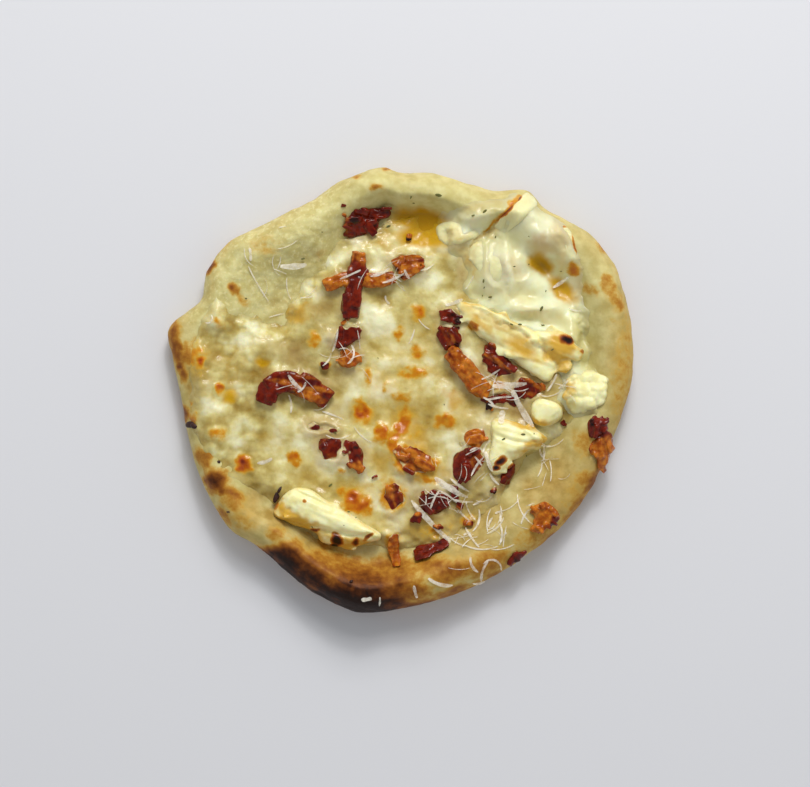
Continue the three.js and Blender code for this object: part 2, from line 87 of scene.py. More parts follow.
def face_outward():
    """Turns all faces of the open piece outward, and closes it."""
    bpy.ops.mesh.select_all(action="SELECT")
    bpy.ops.mesh.normals_make_consistent(inside=False)
    bpy.ops.object.mode_set(mode="OBJECT")


def three_each(items, key):
    """A row of three numbers for each point or face."""
    flat = np.empty(len(items) * 3)
    items.foreach_get(key, flat)
    return flat.reshape(-1, 3)


def points_of(piece):
    return three_each(piece.data.vertices, "co") / MM


def set_points(piece, points):
    piece.data.vertices.foreach_set("co", (np.asarray(points) * MM).ravel())
    piece.data.update()


def paint(piece, most=1, **masks):
    """Writes a number from nought to most for each point, which a material reads by name."""
    for name, values in masks.items():
        layer = piece.data.attributes.new(name, "FLOAT", "POINT")
        layer.data.foreach_set("value", np.clip(values, 0, most).astype(np.float32))


def apply_modifier(piece, kind, **settings):
    only(piece)
    bpy.ops.object.modifier_add(type=kind)
    modifier = piece.modifiers[-1]
    for key, value in settings.items():
        setattr(modifier, key, value)
    bpy.ops.object.modifier_apply(modifier=modifier.name)


def join_all(pieces, name):
    deselect_all()
    for piece in pieces:
        piece.select_set(True)
    bpy.context.view_layer.objects.active = pieces[0]
    bpy.ops.object.join()
    pieces[0].name = name
    return pieces[0]


def copy_of(piece, change):
    """A copy with its own mesh, changed by a matrix."""
    copy = bpy.data.objects.new(piece.name + "_copy", piece.data.copy())
    bpy.context.collection.objects.link(copy)
    copy.data.transform(change)
    return copy


# %% [markdown]
# ## Uneven values
# Food is never even. `grain` gives smooth values from -1 to 1 that change over a chosen size,
# by blending random numbers on a fixed lattice. `crumble` adds finer and finer layers of it, and
# `pebbles` gives rounded lumps that press against each other, as curds do.

# %% Noise on a lattice
GRAIN_CELLS = 48


def grain(points, size, seed):
    lattice = np.random.default_rng(seed).uniform(-1, 1, (GRAIN_CELLS,) * 3)
    place = np.atleast_2d(points) / size
    corner = np.floor(place).astype(int)
    part = place - corner
    part = part * part * (3 - 2 * part)
    total = np.zeros(len(place))
    for step in np.ndindex(2, 2, 2):
        share = np.prod(np.where(step, part, 1 - part), axis=1)
        cell = (corner + step) % GRAIN_CELLS
        total += share * lattice[cell[:, 0], cell[:, 1], cell[:, 2]]
    return total


def crumble(points, size, seed, layers=3):
    total = 0
    for layer in range(layers):
        total = total + grain(points, size / 2**layer, seed + layer) / 2**layer
    return total


def pebbles(points, size, seed):
    """One on top of each lump, and less in the creases between lumps."""
    bend = 0.28 * size
    here = np.column_stack([points[:, 0] + bend * grain(points, size, seed + 1),
                            points[:, 1] + bend * grain(points, size, seed + 2)]) / size
    corner = np.floor(here).astype(int)
    offsets = np.random.default_rng(seed).uniform(0.1, 0.9, (GRAIN_CELLS, GRAIN_CELLS, 2))
    nearest = np.full(len(here), 9.0)
    for step in np.ndindex(3, 3):
        cell = corner + step - 1
        middle = cell + offsets[cell[:, 0] % GRAIN_CELLS, cell[:, 1] % GRAIN_CELLS]
        nearest = np.minimum(nearest, ((here - middle) ** 2).sum(1))
    return np.clip(1 - nearest, 0, 1)


def smooth(low, high, value):
    """Nought below low, one above high, and an even turn between."""
    share = np.clip((np.asarray(value, float) - low) / (high - low), 0, 1)
    return share * share * (3 - 2 * share)


def flat_points(x, y):
    return np.column_stack([x, y, np.zeros(len(x))])


# %% [markdown]
# ## The dough's form
# Seen from above, the outline is a radius for each direction, and the rim has a width, a crest
# height and a crest place that also change with the direction. Smooth closed curves through
# a few measured values give all four. The same values shape the plain model, so both agree.

# %% Measured values of the dough, in millimetres and degrees
FLOOR_HEIGHT = 8
WIDEST_HEIGHT = 6.5
UNDERCUT = 5
OUTLINE = [
    (3, 88.1), (20, 92), (31, 94.2), (40, 93.1), (52, 88.2), (58, 89.8), (66, 83.4), (82, 83.5),
    (90, 83.1), (95, 85.4), (105, 83.3), (116, 80.2), (129, 82), (139, 86.6), (148, 87),
    (156, 84.2), (165, 91.7), (172, 88.2), (180, 84.7), (192, 82.9), (218, 83.9), (229, 80.5),
    (247, 83.9), (260, 86), (272, 82.7), (285, 80.2), (304, 78.7), (322, 80.2), (338, 81.8),
    (350, 83.3),
]
RIM = [
    (0, 21, 17, 9), (30, 22, 17, 9.5), (55, 20, 16.5, 9), (85, 16, 18, 8), (110, 22, 16.5, 9),
    (145, 36, 15, 10), (167, 26, 13.5, 9), (185, 24, 14.5, 8), (215, 17, 15.5, 8),
    (245, 19, 17.5, 9), (275, 23, 18.5, 10), (305, 27, 17, 10), (335, 24, 16, 9.5),
]
DOUGH_LUMPS = [
    (-17.5, 80, 4, 1.9), (-9, 77.5, 4, 1.6), (-50, 62, 12, 0.9), (-46, 42, 13, -1.2),
    (-76, 11, 6, 1.6), (-71, -33, 7, 1.2), (-60, -47, 8, 0.8), (-20, -74, 13, 1.6),
    (18, -71, 12, 1.2), (42, -56, 9, -1), (60, -28, 10, -1.4), (72, -33, 7, 1.2), (80, 34, 10, 1.2),
    (76, 8, 9, 0.8), (6, 63, 10, -2),
]


# %% Curves round the rim
def round_the_rim(rows, column):
    """A smooth closed curve through rows of (degrees, value, ...), read at any angle."""
    rows = np.array(rows, float)
    angles = np.concatenate([rows[-2:, 0] - 360, rows[:, 0], rows[:3, 0] + 360])
    values = np.concatenate([rows[-2:, column], rows[:, column], rows[:3, column]])

    def read(degrees):
        angle = np.mod(degrees - rows[0, 0], 360) + rows[0, 0]
        i = np.searchsorted(angles, angle, side="right") - 1
        span = angles[i + 1] - angles[i]
        t = (angle - angles[i]) / span
        rise = values[i + 1] - values[i]
        start = span * (values[i + 1] - values[i - 1]) / (angles[i + 1] - angles[i - 1])
        end = span * (values[i + 2] - values[i]) / (angles[i + 2] - angles[i])
        return (values[i] + t * start + t**2 * (3 * rise - 2 * start - end)
                + t**3 * (start + end - 2 * rise))

    return read


edge_radius = round_the_rim(OUTLINE, 1)
rim_width = round_the_rim(RIM, 1)
crest_height = round_the_rim(RIM, 2)
crest_inset = round_the_rim(RIM, 3)


def lump_height(lumps, x, y):
    height = np.zeros(len(x))
    for lump_x, lump_y, radius, rise in lumps:
        height += rise * np.exp(-((x - lump_x) ** 2 + (y - lump_y) ** 2) / radius**2)
    return height


def wobble(x, y):
    return 0.5 * np.sin(x / 9 + 1.3) * np.cos(y / 11 - 0.4) + 0.25 * np.sin(x / 4.3 + y / 6.1)


def rim_section(degrees, inset):
    """Up and over the crest of the rim, then down to the floor."""
    crest, peak, foot = crest_height(degrees), crest_inset(degrees), rim_width(degrees)
    outer = 1 - np.clip(inset / peak, 0, 1)
    inner = np.clip((inset - peak) / (foot - peak), 0, 1)
    over = WIDEST_HEIGHT + (crest - WIDEST_HEIGHT) * np.sqrt(1 - outer**2)
    down = FLOOR_HEIGHT + (crest - FLOOR_HEIGHT) * (0.5 + 0.5 * np.cos(np.pi * inner))
    return np.where(inset < peak, over, down)


def inset_from_edge(x, y):
    return edge_radius(np.degrees(np.arctan2(y, x))) - np.hypot(x, y)


def dough_form(x, y):
    """Height of the dough without its fine grain."""
    relief = lump_height(DOUGH_LUMPS, x, y) + wobble(x, y)
    inset = inset_from_edge(x, y)
    return rim_section(np.degrees(np.arctan2(y, x)), inset) + relief * smooth(0, 4, inset)


# %% [markdown]
# ## Where things lie
# Loops and lines through a few points, read off the pizza from straight above, say where the
# cheese, the cream, the bacon and the chicken lie. Soft layers need them to swell round
# whatever sank into them, so all of them come before the first soft layer.

# %% Smooth lines and distances
CURVE_STEPS = 6


def smooth_line(points, closed=True, steps=CURVE_STEPS):
    """A smooth line through a few points."""
    points = np.array(points, float)
    if closed:
        padded = np.vstack([points[-1:], points, points[:2]])
    else:
        padded = np.vstack([2 * points[0] - points[1], points, 2 * points[-1] - points[-2]])
    a, b, c, d = padded[:-3], padded[1:-2], padded[2:-1], padded[3:]
    t = (np.arange(steps) / steps)[None, :, None]
    a, b, c, d = (part[:, None, :] for part in (a, b, c, d))
    curve = 0.5 * (2 * b + (c - a) * t + (2 * a - 5 * b + 4 * c - d) * t**2
                   + (3 * b - a - 3 * c + d) * t**3)
    curve = curve.reshape(-1, points.shape[1])
    return curve if closed else np.vstack([curve, points[-1:]])


def along_and_across(x, y, heading):
    """Distances along a heading and across it."""
    angle = math.radians(heading)
    return (x * math.cos(angle) + y * math.sin(angle),
            y * math.cos(angle) - x * math.sin(angle))


def distance_from(line, x, y):
    """Distance from each point to the nearest place on a line."""
    nearest = np.full(len(x), np.inf)
    for (ax, ay), (bx, by) in zip(line[:-1], line[1:]):
        dx, dy = bx - ax, by - ay
        t = np.clip(((x - ax) * dx + (y - ay) * dy) / (dx * dx + dy * dy + 1e-12), 0, 1)
        nearest = np.minimum(nearest, np.hypot(x - ax - t * dx, y - ay - t * dy))
    return nearest


def inset_in(loop, x, y):
    """How far each point lies inside a loop, or a number below nought outside it."""
    closed = np.vstack([loop, loop[:1]])
    inside = np.zeros(len(x), bool)
    for (ax, ay), (bx, by) in zip(closed[:-1], closed[1:]):
        if ay != by:
            crosses = (ay > y) != (by > y)
            inside ^= crosses & (x < ax + (bx - ax) * (y - ay) / (by - ay))
    nearest = distance_from(closed, x, y)
    return np.where(inside, nearest, -nearest)


def uneven_width(stations):
    """Share of the full width at each station, a little less towards the ends."""
    ends = 0.88 + 0.12 * np.sin(np.pi * np.linspace(0, 1, len(stations)))
    return ends + 0.16 * grain(flat_points(*stations.T), 4.5, 58)


def band_round(line, width):
    """The outline of a strip that follows a line, narrower towards its ends."""
    stations = smooth_line(line, closed=False, steps=4)
    along = np.gradient(stations, axis=0)
    along /= np.hypot(*along.T)[:, None]
    swell = uneven_width(stations)
    side = np.column_stack([-along[:, 1], along[:, 0]]) * swell[:, None] * width / 2
    return np.vstack([stations + side, (stations - side)[::-1]])


# %% Edges of the cheese and the cream
CHEESE_EDGE = [
    (-21.5, 58), (-8, 62.5), (5, 66.5), (14.5, 64), (26, 62), (33.5, 49.5), (38.5, 36), (54.5, 21),
    (66, 4), (64, -11), (54.5, -22.5), (45, -27.5), (37.5, -41.5), (26, -49), (14.5, -58.5),
    (-0.5, -59.5), (-23.5, -58.5), (-38.5, -53), (-50, -43), (-61.5, -35), (-72, -27), (-77, -18),
    (-79.5, -10), (-80.5, -2), (-80.5, 8), (-79, 17.5), (-76, 25), (-73, 33.5), (-70, 37),
    (-66.5, 33), (-61, 30), (-53, 27), (-45.5, 27.5), (-42, 34.5), (-36.5, 42), (-31, 47.5),
    (-25.5, 53.5),
]
CREAM_EDGE = [
    (14.5, 66.5), (26, 71), (37, 72.5), (45, 73.5), (52.5, 70.5), (60, 64), (66.5, 52), (69.5, 35),
    (71.5, 23), (74.5, 8.5), (76.5, -0.5), (72.5, -8.5), (62, -10), (56.5, -3.5), (57, 5),
    (49, 14.5), (37.5, 20), (26, 27), (18.5, 34.5), (17, 46), (14, 55.5),
]
cheese_loop = smooth_line(CHEESE_EDGE)
cream_loop = smooth_line(CREAM_EDGE)

# %% Bacon: height, share of fat, heading of its fibres, and outline
BACON_BITS = {
    "wedge_top": (4, 0.12, -5, [
        (-22, 71), (-17.5, 69.5), (-11, 69.5), (-4.5, 69.5), (-4, 66.5), (-8.5, 64.5), (-9.5, 60),
        (-14.5, 59), (-20.5, 58), (-22, 64)]),
    "grain_top": (4.4, 0.6, 20, [
        (-4.5, 49.5), (0, 51.5), (8, 51.5), (8.5, 46), (5.5, 43), (2, 42.5), (-1.5, 45)]),
    "cluster_far": (4.2, 0.2, 60, [
        (-22, 24.5), (-16, 24), (-16, 20), (-20.5, 16.5), (-25, 15.5), (-26.5, 19)]),
    "cluster_near": (3.6, 0.75, -10, [
        (-24.5, 12.5), (-20.5, 15.5), (-16, 14), (-15, 11.5), (-19, 8), (-24, 9.5)]),
    "sunk_grey": (1.6, 0.1, 0, [
        (-36.5, -13), (-31.5, -11.5), (-25.5, -13.5), (-24, -16), (-30, -16.5), (-35.5, -16)]),
    "sunk_left": (3.2, 0.4, 20, [
        (-31.5, -19), (-27.5, -18), (-23, -20), (-23.5, -26.5), (-28.5, -27), (-31.5, -24)]),
    "sunk_right": (3.4, 0.4, -60, [
        (-22, -19), (-16, -20.5), (-14, -26.5), (-16, -31), (-20.5, -28.5), (-22, -24)]),
    "dark_top": (4, 0.05, -30, [
        (14.5, 29.5), (19, 31.5), (23.5, 28.5), (22, 25), (17.5, 25.5), (15, 27)]),
    "red": (4, 0.25, -60, [
        (14.5, 24), (20, 24), (23.5, 21), (22, 17.5), (17.5, 15.5), (14, 19)]),
    "flat": (4.2, 0.3, -40, [
        (31.5, 17.5), (36.5, 17), (42.5, 11.5), (42, 5.5), (34, 5.5), (31.5, 10.5)]),
    "dark_low": (3.2, 0.12, 10, [
        (31.5, -2.5), (39, 0), (44.5, -2), (43.5, -6.5), (38, -5), (34, -6.5)]),
    "dark_right": (3, 0.3, -20, [
        (44.5, 6.5), (50.5, 3.5), (55, 1.5), (50.5, -2.5), (44.5, -3)]),
    "crusted": (3.6, 0.7, -20, [
        (-3, -22), (3, -21), (8, -23), (12.5, -27.5), (10.5, -31), (3, -32.5), (-1.5, -28.5)]),
    "low_left": (3.4, 0.5, -70, [
        (-6.5, -38), (-1.5, -36), (2, -42), (-3, -46.5), (-5.5, -44.5)]),
    "low_right": (3.8, 0.25, -25, [
        (6.5, -40.5), (11.5, -38), (17.5, -39.5), (17, -44.5), (12.5, -47.5), (7.5, -45.5)]),
    "middle_far": (3.8, 0.7, 10, [
        (24, -16), (31.5, -14), (32.5, -18.5), (28.5, -22), (23.5, -21)]),
    "middle_near": (4.4, 0.4, 55, [
        (20, -24), (27, -22), (32, -25.5), (29.5, -31), (23.5, -35), (19, -32.5)]),
    "by_triangle": (3, 0.35, 50, [
        (38, -30), (42.5, -27), (43.5, -31), (40, -36), (36.5, -35)]),
    "rim_dark": (3.4, 0.05, 70, [
        (71, -11), (77, -10.5), (78, -14), (74.5, -17.5), (71, -17.5)]),
    "rim_amber": (3.6, 0.75, -75, [
        (72, -19), (77.5, -15.5), (80, -16.5), (80.5, -21.5), (78.5, -26.5), (77, -31),
        (74.5, -30), (74, -25.5), (71, -23.5)]),
    "edge_amber": (3.8, 0.7, -40, [
        (49, -44.5), (54, -42), (57.5, -44), (60, -47.5), (57.5, -51), (52, -53.5),
        (48.5, -53), (50.5, -49)]),
    "edge_red": (2.4, 0.1, 30, [
        (41, -63), (46, -60.5), (47.5, -62), (44, -65), (41.5, -65.5)]),
}

# %% Strips of bacon: height, share of fat, width, and middle line
BACON_STRIPS = {
    "curl_down": (4.6, 0.34, 5.8, [(-16, 51), (-16.5, 45), (-18, 39), (-19, 33.5), (-19.5, 29)]),
    "across_left": (3.4, 0.8, 4.6, [(-28, 40), (-24, 41.5), (-19, 42.5), (-16, 42.5)]),
    "across_right": (3.6, 0.75, 4.6, [(-15, 42.5), (-11.5, 42), (-8, 41.5), (-4.5, 42.5)]),
    "crescent": (4.6, 0.4, 7.6, [
        (-51.6, -3), (-49.8, 0.8), (-45, 3.4), (-39, 2.4), (-33.5, 0), (-29, -3)]),
    "ridge": (4.4, 0.75, 6, [(19, 14), (22, 10.5), (25.5, 6.5), (29, 2), (32, 0)]),
    "low_strip": (2.8, 0.2, 3.6, [(6.5, -62), (11.5, -60), (16.5, -58)]),
    "drip": (2.4, 0.8, 3.6, [(-3, -56.5), (-3, -60.5), (-2, -65)]),
}

# %% Chicken: height, heading of its fibres, and outline
CHICKEN = {
    "lower_left": (8.2, -25, [
        (-47.5, -43), (-44.5, -39), (-39.5, -37), (-33.5, -38), (-27.5, -42.5), (-20.5, -46.5),
        (-13.5, -50.5), (-8, -54), (-8.5, -57), (-17.5, -59), (-22, -60), (-30, -58), (-33, -54),
        (-39.5, -51.5), (-45.5, -49.5), (-49, -46.5)]),
    "long": (6.6, -25, [
        (20.5, 33.5), (28.5, 33), (40, 27.5), (50.5, 23), (62.5, 22), (66.5, 17.5), (69.5, 15),
        (67.5, 11.5), (61.5, 11.5), (56, 3), (50.5, 5.5), (43.5, 10.5), (36.5, 16), (29.5, 21),
        (24, 26)]),
    "triangle": (6.8, -15, [
        (34, -11.5), (40, -11), (50.5, -15), (55.5, -18), (52.5, -21), (46, -24.5), (40, -28.5),
        (37, -32.5), (34, -31), (32.5, -26.5), (34, -19)]),
    "nub": (6.2, 30, [
        (49, -6.5), (52, -3), (58, -4.5), (61.5, -7.5), (61, -11), (55.5, -14), (50.5, -12)]),
    "fold": (3.6, 50, [
        (35, 63), (39.5, 68.5), (44.5, 74.5), (50, 73.5), (51, 69.5), (45, 64), (39.5, 59),
        (36.5, 60)]),
    "slab": (2, 60, [
        (27, 55.5), (34, 58), (39, 53), (40, 47.5), (36.5, 40), (30.5, 39), (28.5, 46),
        (25.5, 50.5)]),
    "sliver": (2.4, 80, [
        (61, 63), (63.5, 62), (66.5, 53.5), (65, 46), (62.5, 47.5), (61.5, 53.5), (59.5, 59)]),
    "crumble": (3.2, 0, [
        (63.5, 4.5), (69.5, 7), (77, 5.5), (77.5, 0), (75.5, -5), (67.5, -9), (63.5, -6.5),
        (62.5, 0)]),
    "curl": (2.6, 10, [
        (13.5, 62.5), (21, 65), (27, 64), (30.5, 60), (25.5, 57), (19, 55), (14, 57)]),
}

# %% How near each point is to something that sank in
bacon_loops = [smooth_line(row[-1], steps=3) for row in BACON_BITS.values()]
bacon_loops += [band_round(line, width) for _, _, width, line in BACON_STRIPS.values()]
chicken_loops = [smooth_line(row[-1], steps=3) for row in CHICKEN.values()]
FAR = 6


def inset_in_any(loops, x, y):
    """Distance into the nearest of many loops, or -FAR where none is near."""
    best = np.full(len(x), -float(FAR))
    for loop in loops:
        low, high = loop.min(0) - FAR, loop.max(0) + FAR
        near = (x > low[0]) & (x < high[0]) & (y > low[1]) & (y < high[1])
        best[near] = np.maximum(best[near], inset_in(loop, x[near], y[near]))
    return best


print("loops of bacon:", len(bacon_loops), "and of chicken:", len(chicken_loops))

# %% [markdown]
# ## Where the oven and the fat coloured it, and where shade is painted
# Browning, golden fat, oil, white curds, stains, tan and painted shade come in soft oval
# patches. Each is a middle, two radii, a turn and a strength. Noise bends the ovals, so that
# no edge of a patch looks drawn.

# %% Oval patches
def patches(rows, x, y, bend=1.0, seed=5, edge=1.25):
    """How strongly the patches cover each point: nought is bare, one and over is full."""
    here = flat_points(x, y)
    x = x + bend * crumble(here, 4, seed)
    y = y + bend * crumble(here, 4, seed + 40)
    cover = np.zeros(len(x))
    for patch_x, patch_y, long, short, turn, strength in rows:
        along, across = along_and_across(x - patch_x, y - patch_y, turn)
        near = (along / long) ** 2 + (across / short) ** 2
        cover = np.maximum(cover, strength * np.exp(-near**edge))
    return cover


# %% Browning of the dough
DOUGH_BROWN = [
    (-17.7, 80.8, 2.6, 1.6, 10, 0.38), (-9.3, 77, 3, 1.9, -15, 0.42), (-6, 84.3, 2.4, 1.2, 0, 0.4),
    (-9, 76.6, 5, 3.2, -10, 0.16), (-76.3, 14.2, 5.2, 6, 0, 0.42), (-73.5, 47, 3.2, 2, 60, 0.62),
    (-63.8, 38.2, 2.4, 1.9, -40, 0.52), (-60.4, 34.5, 4, 2, -45, 0.26), (-51.5, 53, 6, 2.4, 0, 0.2),
    (-31, 52, 4, 2, 10, 0.16), (-86, 17, 11, 2.8, 95, 0.6), (-82, 13, 6, 4, 60, 0.42),
    (-75.8, 11.6, 3.4, 3, 0, 0.46), (-84.3, 8.6, 2.4, 2, 0, 0.75), (-82.6, 5.8, 2.2, 3, 0, 0.52),
    (-83.5, -8.7, 3, 4, 80, 0.55), (-75.2, -25.7, 4, 5.4, 20, 0.46),
    (-70.5, -34, 5.6, 5.2, -30, 0.74), (-63.5, -39.2, 5, 3.2, -35, 0.5),
    (-67, -38, 2.6, 2, 0, 0.64), (-67, -48.5, 4.6, 2.2, -50, 0.45),
    (-47.2, -54.3, 4.8, 3.4, 0, 0.34), (18.8, -68, 10.5, 5.8, 8, 0.5), (4, -76, 9, 5, 0, 0.5),
    (-3, -61, 3, 5, 0, 0.4), (79.5, 37, 9, 3.2, -64, 0.3), (82, 32.4, 3.4, 1.7, -64, 0.42),
    (77, 42.5, 3, 2, -50, 0.32), (76.2, 54, 4, 2.6, -55, 0.3), (70.9, 38.6, 4.6, 3.2, -30, 0.26),
    (73, -34, 9, 3.6, 62, 0.46), (66, -45, 10, 3, 50, 0.44), (57, -57, 9, 2.6, 40, 0.42),
    (85, 6, 34, 7, 86, 0.22), (80, 50, 16, 5, -52, 0.14), (-52, 55.7, 9, 4, 5, 0.16),
    (-22, -65, 11, 4, -16, 0.4), (-4, -66.5, 13, 4.5, 0, 0.46), (12, -66, 9, 4.5, 6, 0.44),
    (70, -20, 6, 6, 0, 0.3), (70, -33, 5, 4, 40, 0.34), (80, 27, 3, 2, -60, 0.18),
    (52, -55, 12, 7, 35, 0.3), (32, -66, 14, 6, 14, 0.4), (66, -38, 12, 6, 56, 0.22),
    (47, -65, 9, 2.6, 33, 0.4), (34, -72, 9, 3, 22, 0.44), (20, -77, 10, 3.4, 10, 0.5),
    # The patch at (-60, -49) also paints shade on the lower left rim.
    (79, -24, 7, 3, 72, 0.42), (21, -69, 8, 4, 8, 0.5), (-60, -49, 9, 5, -42, 0.22),
    (-64, -42, 5, 4, -30, 0.34),
]
CHARRED_FROM = 220
CHARRED_TO = 287
CHAR_WIDTH = 28


def charring(x, y):
    """The side that faced the fire: darkest at the outer edge, fading up over the crest."""
    degrees = np.mod(np.degrees(np.arctan2(y, x)), 360)
    here = flat_points(x, y)
    bent = degrees + 5 * crumble(here, 13, 66, 2)
    round_the_side = smooth(CHARRED_FROM, 246, bent) * smooth(CHARRED_TO, 262, bent)
    inset = inset_from_edge(x, y)
    streaks = crumble(np.column_stack([0.12 * degrees, 1.2 * inset, 0 * inset]), 1.9, 64)
    deep = CHAR_WIDTH * round_the_side**0.8
    bare = inset + 3.4 * crumble(here, 9, 61) + 1.5 * streaks
    dark = 1.06 * smooth(deep + 1, 0.08 * deep - 3, bare) ** 1.3 + 0.17 * streaks
    return dark * smooth(0, 0.7, round_the_side)


# %% Colours of the cheese, and oil on everything
CHEESE_BROWN = [
    (7, 29.5, 2.9, 3.1, 0, 0.56), (-1.3, 22.2, 2.6, 3.1, 0, 0.45), (6.3, 14.2, 3.8, 3.3, 30, 0.45),
    (4.4, 6.8, 6, 2.6, 8, 0.42), (-15.5, -8.3, 4, 4.5, 20, 0.68),
    (-7.6, -15.9, 3.4, 4.3, -10, 0.64), (0.2, -2.9, 3.9, 2.9, 10, 0.42),
    (0.2, -13.6, 7.4, 2.5, 66, 0.56), (-3, -20, 4.6, 3, 80, 0.5), (16.2, -12, 4.8, 3.4, 10, 0.56),
    (3.6, -26.2, 8.6, 5.2, -25, 0.7), (10.5, -27.5, 5, 2.4, -15, 0.5),
    (-17.3, -42.3, 6, 4.5, -38, 0.74), (-22.6, -37.8, 3.2, 2.6, -40, 0.36),
    (-3, -40.5, 4.6, 5.4, 0, 0.62), (-6.6, 1.3, 3.2, 1.6, 50, 0.32), (-12.3, 6.3, 1.6, 5, -6, 0.36),
    (6.3, -17, 3, 2.6, 0, 0.22), (-33.4, 19.2, 2.8, 3, 0, 0.44), (-68.6, 1, 2.3, 2.3, 0, 0.66),
    (-69.4, -16.7, 3.8, 3.8, 0, 0.36), (-81, -4.4, 2, 1.6, 0, 0.44), (-80.6, -11, 3, 4.4, 0, 0.55),
    (-79, 13, 6.6, 6.6, 0, 0.4), (-75.8, 11.6, 2.4, 2, 0, 0.6), (-69, 25.3, 3.4, 2, -20, 0.3),
    (-60, -28.1, 2.9, 3.3, -10, 0.95), (-40.5, -25.7, 2.8, 3.5, 15, 0.5), (-3.4, -58, 3, 4, 0, 0.5),
    (-29.4, 10.2, 2, 2, 0, 0.6), (-23, -30.6, 2.4, 2, 0, 0.3), (65.2, 46, 2.2, 2.2, 0, 0.52),
    (27, 24.5, 2.6, 2.2, 0, 0.4), (37, 3, 4, 3, 0, 0.4), (26, -50, 4, 3, 0, 0.3),
    (12, -54, 8, 3, 15, 0.3), (1, -8.6, 5, 3.2, 20, 0.34), (-2, -17, 3.6, 5, 80, 0.42),
    (1.5, -23.5, 6, 3.4, -20, 0.5), (10, -34, 6, 3, -20, 0.34), (-6, -35, 5, 4, 0, 0.28),
    (40.6, 69, 9, 1.1, 49, 0.5), (34, 62.4, 4, 0.9, 44, 0.36),
]
# Golden fat; the patches at (20.3, -3.6) and (55, 53.5) also paint shade, by the bacon and above
# the first pit of the cream.
GOLDEN = [
    (0, -12, 17, 16, 70, 0.5), (3, 14, 12, 18, 0, 0.34), (22, -6, 9, 8, 0, 0.3),
    (-38.6, 29.1, 5.4, 3.4, 30, 0.9), (-54, -49, 9, 4, -32, 0.5), (-28, -5, 9, 7, 0, 0.2),
    (-64, 12, 10, 14, 0, 0.25), (-50, -20, 12, 6, 20, 0.3), (-34, -32, 10, 6, 0, 0.35),
    (58.7, 13.5, 5.6, 3.2, -10, 0.9), (47, 16, 12, 3, -22, 0.8), (26, 30, 6, 3.4, -30, 0.9),
    (30, 57, 8, 1.4, 32, 0.7), (28.2, 48, 1.2, 8, 0, 0.7), (44, 47, 3, 8, 20, 0.4),
    (60, 52, 3, 10, 10, 0.5), (52, 29, 10, 3, -20, 0.4), (20.3, -3.6, 5, 4, 0, 1),
    (3, -17, 8, 13, 14, 1), (8, -29, 10, 5, -20, 0.9), (-17, -41, 8, 6, -38, 0.7),
    (11, 6, 8, 5, 0, 0.5), (26, 49.6, 3, 4, 0, 1), (0, -50, 30, 8, 0, 0.35),
    (52, -42, 5, 4, 0, 0.5), (-7, 3, 8, 7, 0, 0.55), (20, 57, 7, 5, 0, 0.7), (-7, 57, 6, 4, 0, 0.6),
    (34, 44, 8, 8, 0, 0.34), (20, -9, 8, 6, 0, 0.5), (-7, -25, 8, 6, 0, 0.6),
    (37.4, 62.9, 6, 2, 48, 0.6), (55, 53.5, 6, 3.4, -20, 0.6), (66, 40, 4, 9, -30, 0.5),
]
OIL = [
    (7, 65, 12, 4.4, -4, 1), (9, 60.5, 9, 5, -20, 0.9), (7, 58.4, 10, 4.4, -8, 1),
    (-64.6, -2.4, 3.2, 2.8, 0, 0.75), (-52.4, 10.9, 3.2, 2.2, 0, 0.8),
    (53.2, 47.6, 5.8, 3.8, -32, 0.96), (58, 43, 11, 2.6, -48, 0.5),
    (61.2, 38.6, 7.6, 3.4, -48, 0.86), (-12.5, 60, 3, 1.8, 0, 0.4),
]
WHITE = [
    (12.4, 42.4, 6, 4.4, 0, 1), (-11.6, 30.2, 3.2, 4, 0, 1), (-57.6, 26, 4, 3.4, 0, 1),
    (-58.7, -0.2, 6, 3.4, -10, 1), (-70.5, -5.5, 4.4, 3.4, 0, 0.8), (-66.3, -24.1, 5, 2.6, -20, 1),
    (-55.3, -27.6, 4.6, 3, 0, 1), (-58.3, -15.8, 4, 6, 0, 0.9), (-13.9, -33.3, 4, 2.6, -30, 1),
    (-22.6, -27.9, 3.2, 2, 0, 1), (-27, 48.8, 9, 4, 30, 0.7), (-4, 16, 5, 7, 0, 0.5),
    (20, -24, 6, 5, 0, 0.5), (12, -17, 6, 4, 0, 0.6), (-6, -52, 9, 4, 0, 0.6),
    (-45, -33, 10, 3, -20, 0.5), (-46, 22, 5, 3, 0, 0.8), (16, 36, 4, 4, 0, 0.8),
    (-0.6, 15.4, 7, 5.5, 0, 0.9), (-8, 23, 6, 5, 0, 0.8), (-12, -41.6, 6, 4, 0, 0.8),
    (-27, -30.2, 7, 4, 0, 0.8), (-46, -15, 7, 5, 0, 0.8), (-59.5, -15, 5, 5, 0, 0.3),
    (11, 9.7, 6, 6, 0, 0.5), (0, 34.4, 6, 5, 0, 0.5), (-16.9, 57.2, 3.4, 5, 0, 1),
    (-35, 38, 5, 6, -40, 0.9), (-52, 26, 14, 4, 0, 0.5), (-48, -23, 10, 6, 0, 1.2),
    (-62, -23, 6, 5, 0, 1), (-62, 17, 7, 6, 0, 0.8),
]
